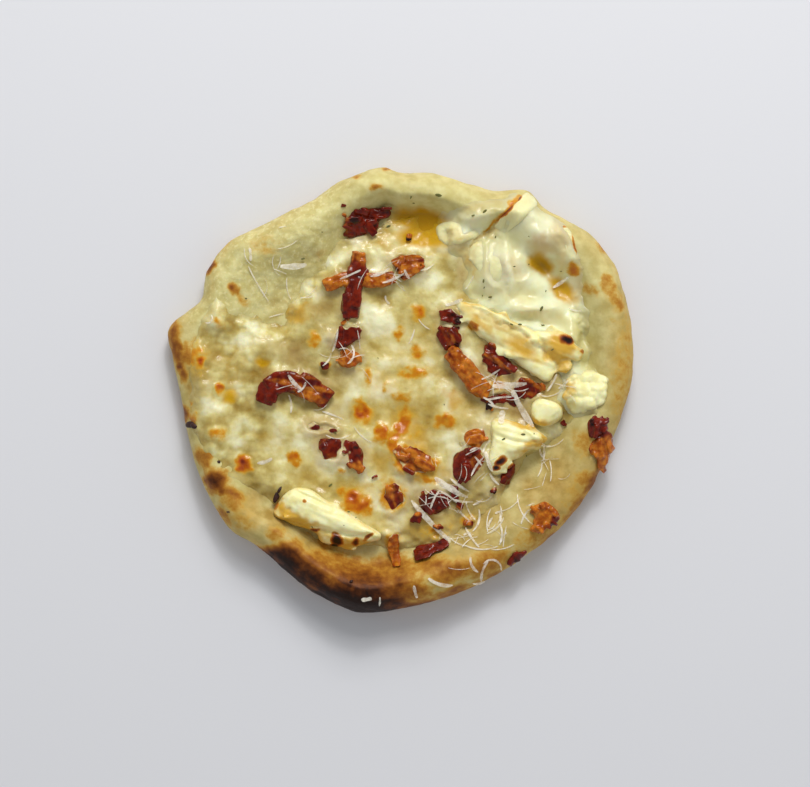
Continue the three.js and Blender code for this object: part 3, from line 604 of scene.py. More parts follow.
# Grease stains, which also paint shade round bacon and chicken and in creases.
GREASE_AND_SHADE_PATCHES = [
    (-25.3, -9.7, 7, 4, 10, 0.5), (-41.2, 13.1, 6, 5, 0, 0.5), (-23.4, 4, 6, 4, 0, 0.35),
    (22.5, 46.5, 2.8, 7.4, -8, 0.7), (-30, -18, 8, 7, 0, 0.45), (40, 8, 9, 7, 0, 0.5),
    (-30, 33, 5, 7, 0, 0.45), (24, 4, 7, 9, -40, 0.4), (36, 49, 5, 7, 0, 0.45),
    (52, 55, 6, 3, 0, 0.4), (12, -38, 10, 6, 0, 0.4), (56, 4, 5, 3, 0, 0.6),
    (35, 4, 11, 8, -20, 0.75), (37, -9, 10, 6, 0, 0.7), (6, -38, 8, 6, 0, 0.6),
    (34, -38, 9, 6, 0, 0.5), (-22, 18, 7, 8, 0, 0.6), (-22, -24, 8, 5, 0, 0.6),
    (62, 2, 6, 8, 0, 0.6), (46, -8, 6, 5, 0, 0.7),
]
# Tan from baking, some of it painted shade, as on the lower left and lower rim.
TAN_AND_SHADE_PATCHES = [
    (58, -38, 24, 13, 55, 0.9), (30, -58, 26, 12, 25, 0.75), (84, 10, 34, 9, 88, 0.62),
    (-46, 41, 17, 12, 30, 0.08), (-84, 22, 6, 14, 0, 0.4), (-30, -64, 24, 8, -20, 0.9),
    (-60, -46, 13, 8, -38, 0.85), (28, -49, 16, 9, 10, 0.85), (10, -56, 14, 7, 0, 0.6),
    (72, 52, 10, 8, -50, 0.25), (-39, 13.5, 6, 4, 0, 0.7), (-50, 15.4, 6, 4, 10, 0.75),
    (-57.6, -3.8, 5, 4, 0, 0.6), (-65, 4, 4, 6, 0, 0.65), (-19.6, 4, 6, 5, 0, 0.5),
    (-46, 34.4, 7, 4, 20, 0.4), (-66, -10, 5, 3, 0, 0.45), (-48, -49, 9, 5, -30, 0.9),
    (-77, 4, 6, 10, 0, 1), (-73, 12, 5, 9, 0, 0.5), (-30, 20, 5, 4, 0, 0.35),
]


# %% How far oil, grease stains, tan and painted shade cover each point
MOST_BROWN = 1.2


def oiliness(x, y):
    return patches(OIL, x, y, 0.8)


def staining(x, y):
    return patches(GREASE_AND_SHADE_PATCHES, x, y, 2, 25, 1.2)


def tanning(x, y):
    return patches(TAN_AND_SHADE_PATCHES, x, y, 2.5, 33, 1.3)


print("patches of colour:", sum(map(len, (DOUGH_BROWN, CHEESE_BROWN, GOLDEN, WHITE, TAN_AND_SHADE_PATCHES))))

# %% [markdown]
# ## The dough
# A baker starts with a ball and presses it flat, and so does this: a UV sphere already has
# rings from pole to pole. Each ring is given its own place along the section of the pizza,
# close together where the rim shows and far apart where cheese hides the dough.

# %% Fine grain of the dough
def blistering(x, y):
    return np.maximum(patches(DOUGH_BROWN, x, y), charring(x, y))


def crumbly(x, y):
    """The far left of the dough is dusted with fine curds that baked on; its pale specks are partly
    painted highlights.
    """
    return smooth(-4, -34, x) * smooth(14, 36, y)


def fine_dough(x, y):
    here = flat_points(x, y)
    rough = crumbly(x, y)
    height = 0.35 * crumble(here, 11, 71, 2) + 0.16 * grain(here, 3.4, 75)
    height += rough * (0.45 * grain(here, 4.2, 76) + 0.6 * (pebbles(here, 2.4, 77) - 0.6))
    browned = blistering(x, y)
    height += 0.4 * smooth(0.15, 0.5, browned) * (pebbles(here, 3.4, 78) - 0.45)
    return height + 0.1 * smooth(0.2, 0.6, browned) * grain(here, 1.2, 79)


def dough_top(x, y):
    return dough_form(x, y) + fine_dough(x, y) * smooth(-1, 5, inset_from_edge(x, y))


# %% Press the ball flat
SECTORS = 540
RINGS = 172
FLOOR_RINGS = 14
TOP_RINGS = 128
FLANK_RINGS = 28
VISIBLE_WIDTH = 44
CROWDING = 1.6
deselect_all()
bpy.ops.mesh.primitive_uv_sphere_add(segments=SECTORS, ring_count=RINGS, radius=1)
dough = just_added("baked_dough")
ball = points_of(dough) * MM
ring = np.rint(np.arccos(np.clip(ball[:, 2], -1, 1)) / math.pi * RINGS)
degrees = np.degrees(np.arctan2(ball[:, 1], ball[:, 0]))
outer = edge_radius(degrees)
on_floor = np.clip(ring / FLOOR_RINGS, 0, 1)
on_rim = np.clip((ring - FLOOR_RINGS) / (TOP_RINGS - FLOOR_RINGS), 0, 1)
on_flank = np.clip((ring - TOP_RINGS) / FLANK_RINGS, 0, 1)
underneath = np.clip((ring - TOP_RINGS - FLANK_RINGS) / (RINGS - TOP_RINGS - FLANK_RINGS), 0, 1)
top_radius = (outer - VISIBLE_WIDTH) * on_floor + VISIBLE_WIDTH * (1 - (1 - on_rim) ** CROWDING)
flank_radius = outer - UNDERCUT * (1 - np.cos(on_flank * math.pi / 2))
radius = np.where(ring <= TOP_RINGS, top_radius, flank_radius - (outer - UNDERCUT) * underneath)


def outward(distance):
    """Steps along x and y for a distance away from the middle."""
    turn = np.radians(degrees)
    return np.array([distance * np.cos(turn), distance * np.sin(turn)])


x, y = outward(radius)
flank_height = WIDEST_HEIGHT * (1 - np.sin(on_flank * math.pi / 2))
height = np.where(ring <= TOP_RINGS, dough_top(x, y), flank_height)
print("dough is", np.ptp(x).round(1), "by", np.ptp(y).round(1), "mm")

# %% Roughen the flank, and note how each part of the dough is coloured
side = np.where(ring <= TOP_RINGS, smooth(8, 0, outer - radius), smooth(0, 3, flank_height))
push = side * (0.35 * crumble(np.column_stack([x, y, height]), 6, 90) + 0.1)
x, y = outward(push) + [x, y]
surface = np.column_stack([x, y, height])
set_points(dough, surface)
flank_brown = 0.34 * smooth(5.5, 0.5, height) + 0.16 * crumble(surface, 14, 95) * side
fade_down = 1 - 0.6 * smooth(7.5, 1, height) + 0.3 * crumble(surface, 5, 96, 2) * side
paint(dough, MOST_BROWN, brown=np.maximum(blistering(x, y) * fade_down, flank_brown))
paint(dough, oil=oiliness(x, y), crumbs=crumbly(x, y),
      tan=tanning(x, y) + 0.3 * side + 0.14 * crumble(surface, 9, 97))

# %% [markdown]
# ## Layers that were poured or melted
# Cheese and cream are soft layers over a listed loop. A grid is cut to the loop, given a
# thickness, divided finely on top, and laid over the dough. At the loop the layer rounds
# off like a bead and dives into the dough, so the seam follows the dough's relief. Round each
# topping it creeps up the side, as a soft layer does when something sinks into it.

# %% Depth of the cheese and of the cream
CHEESE_DEPTH = 3.2
CREAM_DEPTH = 4.6
EDGE_DEPTH = 0.9
EDGE_FADE = 7
CHEESE_LUMPS = [
    (-63, 14, 8, 1.6), (-66, 0, 8, 1.4), (-70, -17, 7, 1.8), (-52, -8, 10, 1), (-50, 18, 6, 1.4),
    (-40, 36, 5, 1.6), (-30, 46, 5, 1.4), (-31, -44, 9, 0.8), (-6, -30, 9, 1.2), (-22, -22, 8, 1.4),
    (2, 8, 12, -0.8), (4, 30, 9, 0.8), (6, 62, 10, -1.8), (-8, -52, 8, 0.8), (44, -20, 8, 0.8),
    (-16.9, 57.2, 3.6, 1.5), (-37, 37, 4, 1),
]
CREAM_LUMPS = [
    (38, 48, 9, 4.2), (44, 64, 8, 0.8), (59, 58, 8, 1.6), (47, 34, 10, 2.6), (66, 22, 7, 2.2),
    (22, 59, 7, 2.4), (53.4, 48.6, 5.6, -3.2), (60.6, 40, 5.6, -2.6), (64.4, 34.6, 4, -1.4),
    (52, 60, 4, 1.4), (46.4, 49, 3.6, 1.6), (53.4, 40.6, 4, 1.5), (66.5, 24, 5, 1.2),
]


def layer_depth(loop, full, lumps, x, y, seed):
    """Full inside, rounded at its edge, and below nought outside."""
    here = flat_points(x, y)
    inset = inset_in(loop, x, y) + 1.4 * crumble(here, 5, seed)
    depth = full + lump_height(lumps, x, y) + 0.3 * wobble(y, x)
    edge = EDGE_DEPTH * (0.75 + 0.35 * grain(here, 7, seed + 8))
    bead = edge * np.sqrt(1 - (1 - np.clip(inset / 3.4, 0, 1)) ** 2)
    on_rim = 0.5 + 0.5 * smooth(5, 24, inset_from_edge(x, y))
    body = np.maximum(depth - EDGE_DEPTH, 0) * smooth(0.5, EDGE_FADE, inset) * on_rim
    return np.where(inset < 0, np.maximum(inset, -1.5) * 0.7, bead + body)


def cheese_form(x, y):
    return dough_form(x, y) + layer_depth(cheese_loop, CHEESE_DEPTH, CHEESE_LUMPS, x, y, 11)


def cream_form(x, y):
    return dough_form(x, y) + layer_depth(cream_loop, CREAM_DEPTH, CREAM_LUMPS, x, y, 31)


def resting_height(x, y):
    """What a topping lies on."""
    return np.maximum(dough_form(x, y), np.maximum(cheese_form(x, y), cream_form(x, y)))


def climb(x, y, seed):
    """How far a melted layer crept up what sank into it, unevenly."""
    here = flat_points(x, y)
    bacon = inset_in_any(bacon_loops, x, y) + 0.8 * grain(here, 2.6, seed)
    chicken = inset_in_any(chicken_loops, x, y) + 0.6 * grain(here, 3.4, seed + 1)
    share = 0.75 + 0.6 * grain(here, 5, seed + 2)
    beside = smooth(-4, 0.4, bacon) * (1 - 0.7 * smooth(0.4, 1.8, bacon))
    return share * (1.5 * beside + 0.9 * smooth(-3.4, 0.2, chicken))


def top_surface(x, y):
    """The true height of the soft layers and the dough, with their fine relief."""
    return np.maximum(dough_top(x, y), np.maximum(cheese_top(x, y), cream_top(x, y)))


# %% Cut a grid to a loop and give it a thickness
CHEESE_SPACING = 3.1
CREAM_SPACING = 2.6
FINE_CUTS = 6
SKIRT = 2.2
TOP = -0.01
SAFE_INSET = 1.6


def soft_layer(name, loop, spacing):
    """A closed slab over a loop, finely divided on top. Its top lies at height nought."""
    low, high = loop.min(0) - 2 * spacing, loop.max(0) + 2 * spacing
    columns, rows = np.ceil((high - low) / spacing).astype(int)
    deselect_all()
    bpy.ops.mesh.primitive_grid_add(x_subdivisions=columns, y_subdivisions=rows, size=1)
    piece = just_added(name)
    points = points_of(piece) * MM
    points[:, :2] = (low + high) / 2 + points[:, :2] * (high - low)
    set_points(piece, points)
    middles = three_each(piece.data.polygons, "center") / MM
    edit(piece, inset_in(loop, middles[:, 0], middles[:, 1]) < -SKIRT)
    bpy.ops.mesh.delete(type="FACE")
    bpy.ops.mesh.select_all(action="SELECT")
    bpy.ops.mesh.extrude_region_move(TRANSFORM_OT_translate={"value": (0, 0, -SKIRT * MM)})
    face_outward()
    edit(piece, three_each(piece.data.polygons, "center")[:, 2] / MM > TOP)
    bpy.ops.mesh.subdivide(number_cuts=FINE_CUTS)
    bpy.ops.object.mode_set(mode="OBJECT")
    return piece


def lay_over(piece, top):
    """Lays a layer over the dough, and returns where its points are."""
    points = points_of(piece)
    x, y = points[:, 0], points[:, 1]
    short = np.maximum(SAFE_INSET - inset_from_edge(x, y), 0)
    pull = 1 - short / np.hypot(x, y)
    x, y = x * pull, y * pull
    height = np.where(points[:, 2] > TOP, top(x, y), dough_form(x, y) - SKIRT)
    set_points(piece, np.column_stack([x, y, height]))
    print(piece.name, "has", len(x), "points")
    return x, y


# %% [markdown]
# ## Melted cheese
# Melted cheese sinks into a smooth skin, with soft curds where it didn't quite melt and
# a raised dome on each blister. Curds are whiter than the fat between them, so the same
# numbers that lift the surface also choose its colour.

# %% Melt the cheese
CURDS = [
    (-66, 8, 22, 30, 0, 1), (-52, 24, 16, 8, 0, 0.9), (-36, 40, 8, 10, -40, 0.9),
    (-66, -20, 14, 12, 0, 0.8), (0, 50, 30, 8, 0, 0.4), (0, 0, 60, 60, 0, 0.22),
    (-10, -50, 30, 8, 0, 0.4),
]


def curds(x, y):
    """Height of the curds, from about -0.5 to 0.5, strongest where they kept their shape."""
    here = flat_points(x, y)
    return patches(CURDS, x, y, 3, 15) * (
        0.7 * pebbles(here, 7.4, 105) + 0.4 * pebbles(here, 3.3, 106) - 0.8)


def swells(x, y):
    """Broad soft waves where the cheese flowed, from about -1 to 1."""
    here = flat_points(x, y)
    return 0.75 * grain(here, 9, 101) + 0.4 * grain(here, 5, 102)


def fine_cheese(x, y):
    here = flat_points(x, y)
    height = 1.05 * swells(x, y) + 0.18 * crumble(here, 2.6, 104, 2)
    height += 1.7 * curds(x, y)
    blister = patches(CHEESE_BROWN, x, y)
    height += 0.4 * smooth(0.05, 0.5, blister) * (1 + 0.7 * grain(here, 2.4, 107))
    height += 0.1 * smooth(0.3, 0.5, blister) * grain(here, 1.1, 108)
    return height - 0.5 * patches(OIL, x, y) + climb(x, y, 141)


def cheese_top(x, y):
    return cheese_form(x, y) + fine_cheese(x, y) * smooth(-0.5, 2, inset_in(cheese_loop, x, y))


cheese = soft_layer("melted_cheese_skin", cheese_loop, CHEESE_SPACING)
x, y = lay_over(cheese, cheese_top)
here = flat_points(x, y)

# %% Colour the cheese
# Round the bacon the cheese is painted darker: a grease stain, and painted shade of the bacon in
# and under it.
near_bacon = smooth(-3.4, -0.2, inset_in_any(bacon_loops, x, y) + 0.8 * grain(here, 3, 112))
white = 0.54 + 0.42 * swells(x, y) + 0.8 * curds(x, y) + 0.16 * crumble(here, 6, 111)
white += 0.5 * patches(WHITE, x, y, 1.6, 21, 1.2) - 0.26 * smooth(-22, -46, x)
thin = smooth(4.5, 0, inset_in(cheese_loop, x, y) + 1.5 * grain(here, 5, 113))
paint(cheese, MOST_BROWN,
      brown=patches(CHEESE_BROWN, x, y) * (0.9 + 0.35 * grain(here, 1.9, 114)))
paint(cheese, golden=patches(GOLDEN, x, y, 3, 12, 1.2) - 0.8 * curds(x, y), oil=oiliness(x, y),
      white=white, stain=staining(x, y) + 0.55 * near_bacon, tan=tanning(x, y) + 0.4 * thin)

# %% [markdown]
# ## Cream sauce
# The cream is thicker, whiter and smoother than the cheese. It drapes over chicken, sinks to
# two soft pits where oil gathered, and shines. A few long lumps and creases are listed. Where
# it runs up the rim it is thin, so the dough tints it, and it is painted darker there as shade.

# %% Pour the cream
CREAM_FOLDS = [
    (47, 31.5, 8, 3.6, -8, 1.3), (46, 26.6, 9, 2.2, -10, -0.5), (22.5, 46.5, 2.6, 8, -8, -1.4),
    (58, 43, 11, 3.6, -48, -0.5), (41, 43, 2.2, 12, 12, 0.9), (33, 60.5, 12, 1.3, 48, -0.9),
    (29, 64.5, 7, 2.6, 30, 0.8), (60, 60, 8, 2.4, -50, 0.7), (50, 55, 5, 3, 0, 0.7),
    (68, 20, 3, 9, 5, -0.7), (56, 22, 12, 2, -12, 0.6),
]


def folds(x, y):
    return (patches([row for row in CREAM_FOLDS if row[5] > 0], x, y, 0.8)
            - patches([(*row[:5], -row[5]) for row in CREAM_FOLDS if row[5] < 0], x, y, 0.8))


def fine_cream(x, y):
    here = flat_points(x, y)
    creases = 1 - 2.4 * np.abs(grain(here, 9, 127))
    height = 0.5 * crumble(here, 6, 121, 2) + 0.75 * creases + 1.5 * folds(x, y)
    return height + climb(x, y, 145)


def cream_top(x, y):
    return cream_form(x, y) + fine_cream(x, y) * smooth(-0.5, 2, inset_in(cream_loop, x, y))


cream = soft_layer("cream_sauce_pool", cream_loop, CREAM_SPACING)
x, y = lay_over(cream, cream_top)
here = flat_points(x, y)

# %% Colour the cream
# Round the bacon the cream is painted darker: a grease stain, and painted shade.
near_bacon = smooth(-3, -0.2, inset_in_any(bacon_loops, x, y))
thin = smooth(5, 0, inset_in(cream_loop, x, y) + 1.5 * grain(here, 5, 133))
# On the rim the cream is painted darker: partly thin cream over dough, partly painted shade.
on_rim = smooth(24, 8, inset_from_edge(x, y))
paint(cream, brown=patches(CHEESE_BROWN, x, y), oil=oiliness(x, y),
      golden=patches(GOLDEN, x, y, 2, 12, 1.3) + 0.12 * grain(here, 6, 126),
      white=0.6 + 0.5 * crumble(here, 12, 131) + 0.3 * folds(x, y),
      stain=staining(x, y) + 0.4 * near_bacon, tan=0.5 * thin + 0.34 * on_rim)

# %% [markdown]
# ## A lump from many planks
# Cooked meat breaks along its fibres. Each piece starts as a slab over its own outline, gets
# bevelled planks laid on it along one heading, and is then wrapped in one skin by a voxel
# remesh, which welds everything into a closed shape. A chip that stays loose is
# taken away, because it would hover. Noise along the normals roughens the skin.

# %% One plank, modelled once, with a bevel that is a share of its size
PLANK_BEVEL = 0.13
deselect_all()
bpy.ops.mesh.primitive_cube_add(size=1)
plank = just_added("plank")
edit(plank)
bpy.ops.mesh.bevel(offset=PLANK_BEVEL, segments=2, affect="EDGES")
bpy.ops.object.mode_set(mode="OBJECT")
print("plank has", len(plank.data.polygons), "faces")


# %% Slabs, planks and skins
PLANK_MARGIN = 0.3


def slab(name, loop, rings):
    """A closed lump over a loop. Each ring is a share of the outline and a height."""
    middle = loop.mean(0)
    share, height = rings[0]
    deselect_all()
    bpy.ops.mesh.primitive_circle_add(vertices=len(loop), radius=1, fill_type="NGON")
    piece = just_added(name)
    ground = np.full(len(loop), height)
    set_points(piece, np.column_stack([middle + share * (loop - middle), ground]))
    edit(piece)
    for next_share, next_height in rings[1:]:
        rise = (0, 0, (next_height - height) * MM)
        bpy.ops.mesh.extrude_region_move(TRANSFORM_OT_translate={"value": rise})
        grow = next_share / share
        centre = (*(middle * MM), next_height * MM)
        bpy.ops.transform.resize(value=(grow, grow, 1), center_override=centre)
        share, height = next_share, next_height
    face_outward()
    return piece


def turned(place, heading, tilt, roll, size):
    """Stretches, turns and moves a copy, all in millimetres and degrees."""
    return (Matrix.Translation(Vector(place) * MM)
            @ Matrix.Rotation(math.radians(heading), 4, "Z")
            @ Matrix.Rotation(math.radians(tilt), 4, "Y")
            @ Matrix.Rotation(math.radians(roll), 4, "X")
            @ Matrix.Diagonal((*(np.array(size) * MM), 1)))


def lay_planks(piece, loop, height, heading, count, small, large, rng):
    """Joins planks that lie inside a loop to a piece. Small and large are sizes."""
    copies = [piece]
    low, high = loop.min(0), loop.max(0)
    while len(copies) <= count:
        spot = rng.uniform(low, high)
        inset = inset_in(loop, spot[:1], spot[1:])[0]
        if inset > PLANK_MARGIN:
            size = rng.uniform(small, large)
            size[:2] *= min(1, 0.3 + 0.3 * inset)
            place = (*spot, height * rng.uniform(0.3, 1) - size[2] / 2)
            turn = turned(place, rng.normal(heading, 22), rng.normal(0, 9), rng.normal(0, 16), size)
            copies.append(copy_of(plank, turn))
    return join_all(copies, piece.name)


def skin_over(piece, voxel, smoothing):
    apply_modifier(piece, "REMESH", mode="VOXEL", voxel_size=voxel * MM)
    apply_modifier(piece, "SMOOTH", factor=0.5, iterations=smoothing)


def keep_largest(piece):
    """Takes away the chips that the skin left loose."""
    name = piece.name
    edit(piece)
    bpy.ops.mesh.separate(type="LOOSE")
    bpy.ops.object.mode_set(mode="OBJECT")
    parts = sorted(bpy.context.selected_objects, key=lambda part: len(part.data.vertices))
    for chip in parts[:-1]:
        bpy.data.objects.remove(chip)
    parts[-1].name = name
    return parts[-1]


def along_fibres(points, heading, stretch):
    """Points in a frame where lengths along the fibres count less, so noise runs along."""
    along, across = along_and_across(points[:, 0], points[:, 1], heading)
    return np.column_stack([along / stretch, across, points[:, 2]])


def roughen(piece, lift):
    """Moves each point along its normal, as far as lift says."""
    points = points_of(piece)
    normals = three_each(piece.data.vertices, "normal")
    set_points(piece, points + normals * lift(points)[:, None])


def drape(piece, stiffness=0.0):
    """Lifts a piece made on flat ground onto what it lies on. A stiff one bends less."""
    points = points_of(piece)
    under = points[:, :2] + stiffness * (points[:, :2].mean(0) - points[:, :2])
    points[:, 2] += resting_height(under[:, 0], under[:, 1])
    set_points(piece, points)
    return points


def bareness(points):
    """How far each point stands out of the cheese, the cream and the dough."""
    return points[:, 2] - top_surface(points[:, 0], points[:, 1])


SEED_STEP = 10


def make_all(rows, make, first_seed):
    """One piece for each named row, each from a seed of its own."""
    return {name: make(name, *row, first_seed + SEED_STEP * number)
            for number, (name, row) in enumerate(rows.items())}


# %% [markdown]
# ## Bacon
# Crisp bacon is dark red lean with amber fat, in streaks along its fibres, with a few burnt
# ridges. Bits are broken planks. The longer strips are planks laid end to end on a line, of
# uneven width. Bacon bends over what it lies on, but it is too stiff to follow the steep rim.
# A film of cheese stays on it wherever it barely stands out of the layer.

# %% Where fat shows amber, and where lean is darkest
BACON_AMBER = [
    (-15.6, 51.3, 3.5, 3, 0, 1), (-21.6, 65, 2, 6, 0, 0.9), (-25, 41.5, 6, 3, 10, 0.8),
    (-9, 41.5, 6, 3, 0, 0.7), (6, 46.5, 3.5, 3, 0, 0.8), (-17.6, 12.5, 5, 3.5, 0, 0.9),
    (-37, -1, 6, 3.4, -20, 0.6), (27, 5, 8, 4, -45, 0.6), (76, -24, 5, 7, 15, 0.6),
    (53, -46, 5, 4, 0, 0.8), (28, -18, 5, 4, 0, 0.5), (-4.5, -38, 2.5, 4, 0, 0.6),
    (-3, -60, 3, 4, 0, 0.6), (3, -24, 7, 3, -15, 0.4), (-16, -29, 3, 2.5, 0, 0.6),
]
BACON_DARK = [
    (-51.4, -2, 4.4, 3.6, 0, 1.2), (-17, 32, 4, 6, 0, 1), (-18.5, 21.4, 4, 3.5, 0, 0.9),
    (-5, 67.5, 2.5, 2, 0, 1.2), (19, 27.5, 5, 3, 0, 1.2), (59, -50.5, 3.6, 2.8, -40, 1.2),
    (75, -14, 4, 4, 0, 1), (79, -30, 2.4, 2.4, 0, 0.8), (45, -63.5, 4, 3, 0, 0.8),
    (38, -4, 7, 3, 0, 0.8), (12, -43, 5, 4, 0, 0.9), (23, -31, 4, 4, 0, 0.6),
    (-13, 65, 6, 4, 0, 0.5),
]

# %% Make the bits and strips
BACON_VOXEL = 0.34
BACON_SMOOTHING = 9
BIT_SEED = 200
STRIP_SEED = 500
STIFF = {"edge_red": 0.6, "edge_amber": 0.5, "rim_amber": 0.5, "rim_dark": 0.5, "wedge_top": 0.45}


def bacon_finish(name, piece, fat, heading, seed):
    """Skin, relief and the three numbers that colour bacon."""
    skin_over(piece, BACON_VOXEL, BACON_SMOOTHING)
    piece = keep_largest(piece)
    roughen(piece, lambda points: (
        0.15 * crumble(along_fibres(points, heading, 6), 1.5, seed, 2)
        + 0.26 * grain(points, 3.2, seed + 2)))
    flat = points_of(piece)
    x, y = flat[:, 0], flat[:, 1]
    draped = drape(piece, STIFF.get(name, 0))
    streaks = crumble(along_fibres(flat, heading, 6), 1.9, seed + 4, 2)
    blotches = grain(flat, 5.5, seed + 5)
    dark = patches(BACON_DARK, x, y, 0.8, 27)
    amber = patches(BACON_AMBER, x, y, 0.8, 29)
    tone = 0.75 * streaks + 0.45 * blotches + 2 * (fat - 0.55) + 1.2 * amber - 1.5 * dark
    rise = flat[:, 2] / flat[:, 2].max()
    burnt = 0.7 * crumble(flat, 3.6, seed + 7, 2) + 0.3 * rise - 0.6 * fat + 0.3 * dark
    film = smooth(0.8, 0, bareness(draped) + 0.6 * crumble(flat, 2.6, seed + 9, 2))
    soft = np.maximum(inset_in(cheese_loop, x, y), inset_in(cream_loop, x, y))
    paint(piece, fat=smooth(-0.8, 0.9, tone), char=smooth(0.35, 1.1, burnt),
          film=film * smooth(-2, 3, soft))
    return piece


def bacon_bit(name, height, fat, heading, outline, seed):
    rng = np.random.default_rng(seed)
    loop = smooth_line(outline, steps=4)
    piece = slab("crisp_bacon_" + name, loop, [
        (0.9, -1.6), (0.98, 0.1 * height), (0.92, 0.35 * height), (0.6, 0.55 * height)])
    count = int(4 + np.prod(np.ptp(loop, axis=0)) / 11)
    lay_planks(piece, loop, height, heading, count, (3.4, 1.8, 1), (7.5, 3.6, 2), rng)
    return bacon_finish(name, piece, fat, heading, seed)


def bacon_strip(name, height, fat, width, line, seed):
    rng = np.random.default_rng(seed)
    loop = band_round(line, width)
    stations = smooth_line(line, closed=False, steps=4)
    copies = [slab("crisp_bacon_" + name, smooth_line(loop[::3], steps=3), [
        (0.85, -1.4), (1, 0.1 * height), (0.9, 0.4 * height)])]
    headings = np.degrees(np.arctan2(*np.gradient(stations, axis=0).T[::-1]))
    for middle, share, heading in zip(stations, uneven_width(stations), headings):
        across = math.radians(heading + 90)
        for side in (-0.27, 0.27):
            shift = side * width * share + rng.normal(0, 0.2)
            spot = middle + shift * np.array([math.cos(across), math.sin(across)])
            top = height * share * rng.uniform(0.72, 1)
            size = (rng.uniform(2.6, 4.2), width * share * rng.uniform(0.48, 0.7), top)
            turn = turned((*spot, top / 2), heading, rng.normal(0, 6), rng.normal(0, 14), size)
            copies.append(copy_of(plank, turn))
    piece = join_all(copies, "crisp_bacon_" + name)
    return bacon_finish(name, piece, fat, float(np.median(headings)), seed)


bacon = make_all(BACON_BITS, bacon_bit, BIT_SEED)
bacon |= make_all(BACON_STRIPS, bacon_strip, STRIP_SEED)
print("pieces of bacon:", len(bacon))

# %% [markdown]
# ## Small crumbs of bacon
# Between the named pieces lie crumbs of a few millimetres. Each is three short planks in one
# skin, and all of them are one piece, because none of them matters alone.

# %% Crumbs: place, length, width, heading, height
CRUMBS = [
    (20.4, -38.8, 5.4, 3, 100, 2.2), (25.4, -50.2, 4.4, 2.6, 20, 1.8),
    (2.7, 58.5, 3.2, 2.2, 80, 1.2), (-29.3, 10.2, 3.6, 3.2, 0, 1.6), (6.1, -48.3, 5, 3.4, 60, 1.8),
    (22, -44, 3.4, 2, -20, 1.6), (-10, -33, 2.4, 1.6, 30, 1), (33.8, -5.5, 5, 1.8, 95, 2),
    (-21, 25.8, 3, 2, 40, 1.8), (14, -51.5, 3.6, 2, 10, 1.6), (35, -38, 3, 1.8, 50, 1.2),
    (61.6, -12.6, 2.4, 1.6, 0, 1.2),
]
CRUMB_PLANKS = 3
CRUMB_LIFT = 0.7
CRUMB_VOXEL = 0.3
CRUMB_SMOOTHING = 2
rng = np.random.default_rng(61)
crumb_parts = []
for crumb_x, crumb_y, length, width, heading, high in CRUMBS:
    ground = resting_height(np.array([crumb_x]), np.array([crumb_y]))[0] + CRUMB_LIFT
    for _ in range(CRUMB_PLANKS):
        place = (crumb_x + rng.normal(0, 0.5), crumb_y + rng.normal(0, 0.4),
                 ground + high * rng.uniform(0.1, 0.45))
        size = (length * rng.uniform(0.6, 0.95), width * rng.uniform(0.5, 0.8), high)
        crumb_parts.append(copy_of(plank, turned(
            place, heading + rng.normal(0, 15), rng.normal(0, 12), rng.normal(0, 15), size)))
crumbs = join_all(crumb_parts, "bacon_crumbs")
skin_over(crumbs, CRUMB_VOXEL, CRUMB_SMOOTHING)
roughen(crumbs, lambda points: 0.2 * crumble(points, 1.8, 63, 2))
points = points_of(crumbs)
paint(crumbs, fat=smooth(-0.2, 0.5, crumble(points, 5, 64, 2)),
      char=smooth(0.1, 0.7, crumble(points, 3, 66, 2)),
      film=smooth(0.9, 0.1, bareness(points) + 0.5 * crumble(points, 2.6, 68, 2)))
print("crumbs of bacon:", len(CRUMBS))

# %% [markdown]
# ## Chicken
# Cooked chicken is torn into slabs with soft shoulders, a fine grain of fibres along them,
# golden threads and edges, and a few burnt spots. The slab is made as the bacon's is, with
# larger planks and a softer skin. Creases are pressed in along short lines, where a piece
# folded. Each piece then sinks into the layer it lies on, and some keep sauce on top.

# %% Burnt and golden spots of the chicken
CHICKEN_BROWN = [
    (-24.6, -56.6, 1.9, 2.4, 0, 1.2), (-25.6, -59, 1.2, 1.4, 0, 1.1),
    (-17.6, -57.6, 1.7, 1.3, 20, 0.8), (-32.6, -53.4, 2.2, 0.8, 10, 0.7),
    (-33.4, -57, 1.1, 1.6, 20, 0.6), (-12.4, -55.6, 2.8, 0.8, 45, 0.6),
    (-47.6, -43.6, 1.2, 3, -15, 0.5), (-36.8, -42, 0.9, 0.7, 0, 0.5),
    (62.5, 19.4, 2.6, 1.7, -10, 1), (69, 15.4, 1.6, 1, 0, 0.5), (27.4, 24.4, 2.6, 1.7, -50, 0.5),
    (37.6, -26.4, 2.2, 1.4, 50, 0.95), (36.2, -29.2, 1.6, 1.2, 40, 1), (41, -28.8, 2.2, 1, 40, 0.6),
    (41, 69.4, 8, 1, 49, 0.7), (44.6, 73, 1.6, 0.7, 49, 0.8), (65.4, 54, 6.6, 0.6, -76, 0.5),
    (62, 62.4, 1.6, 0.8, 20, 0.45),
]
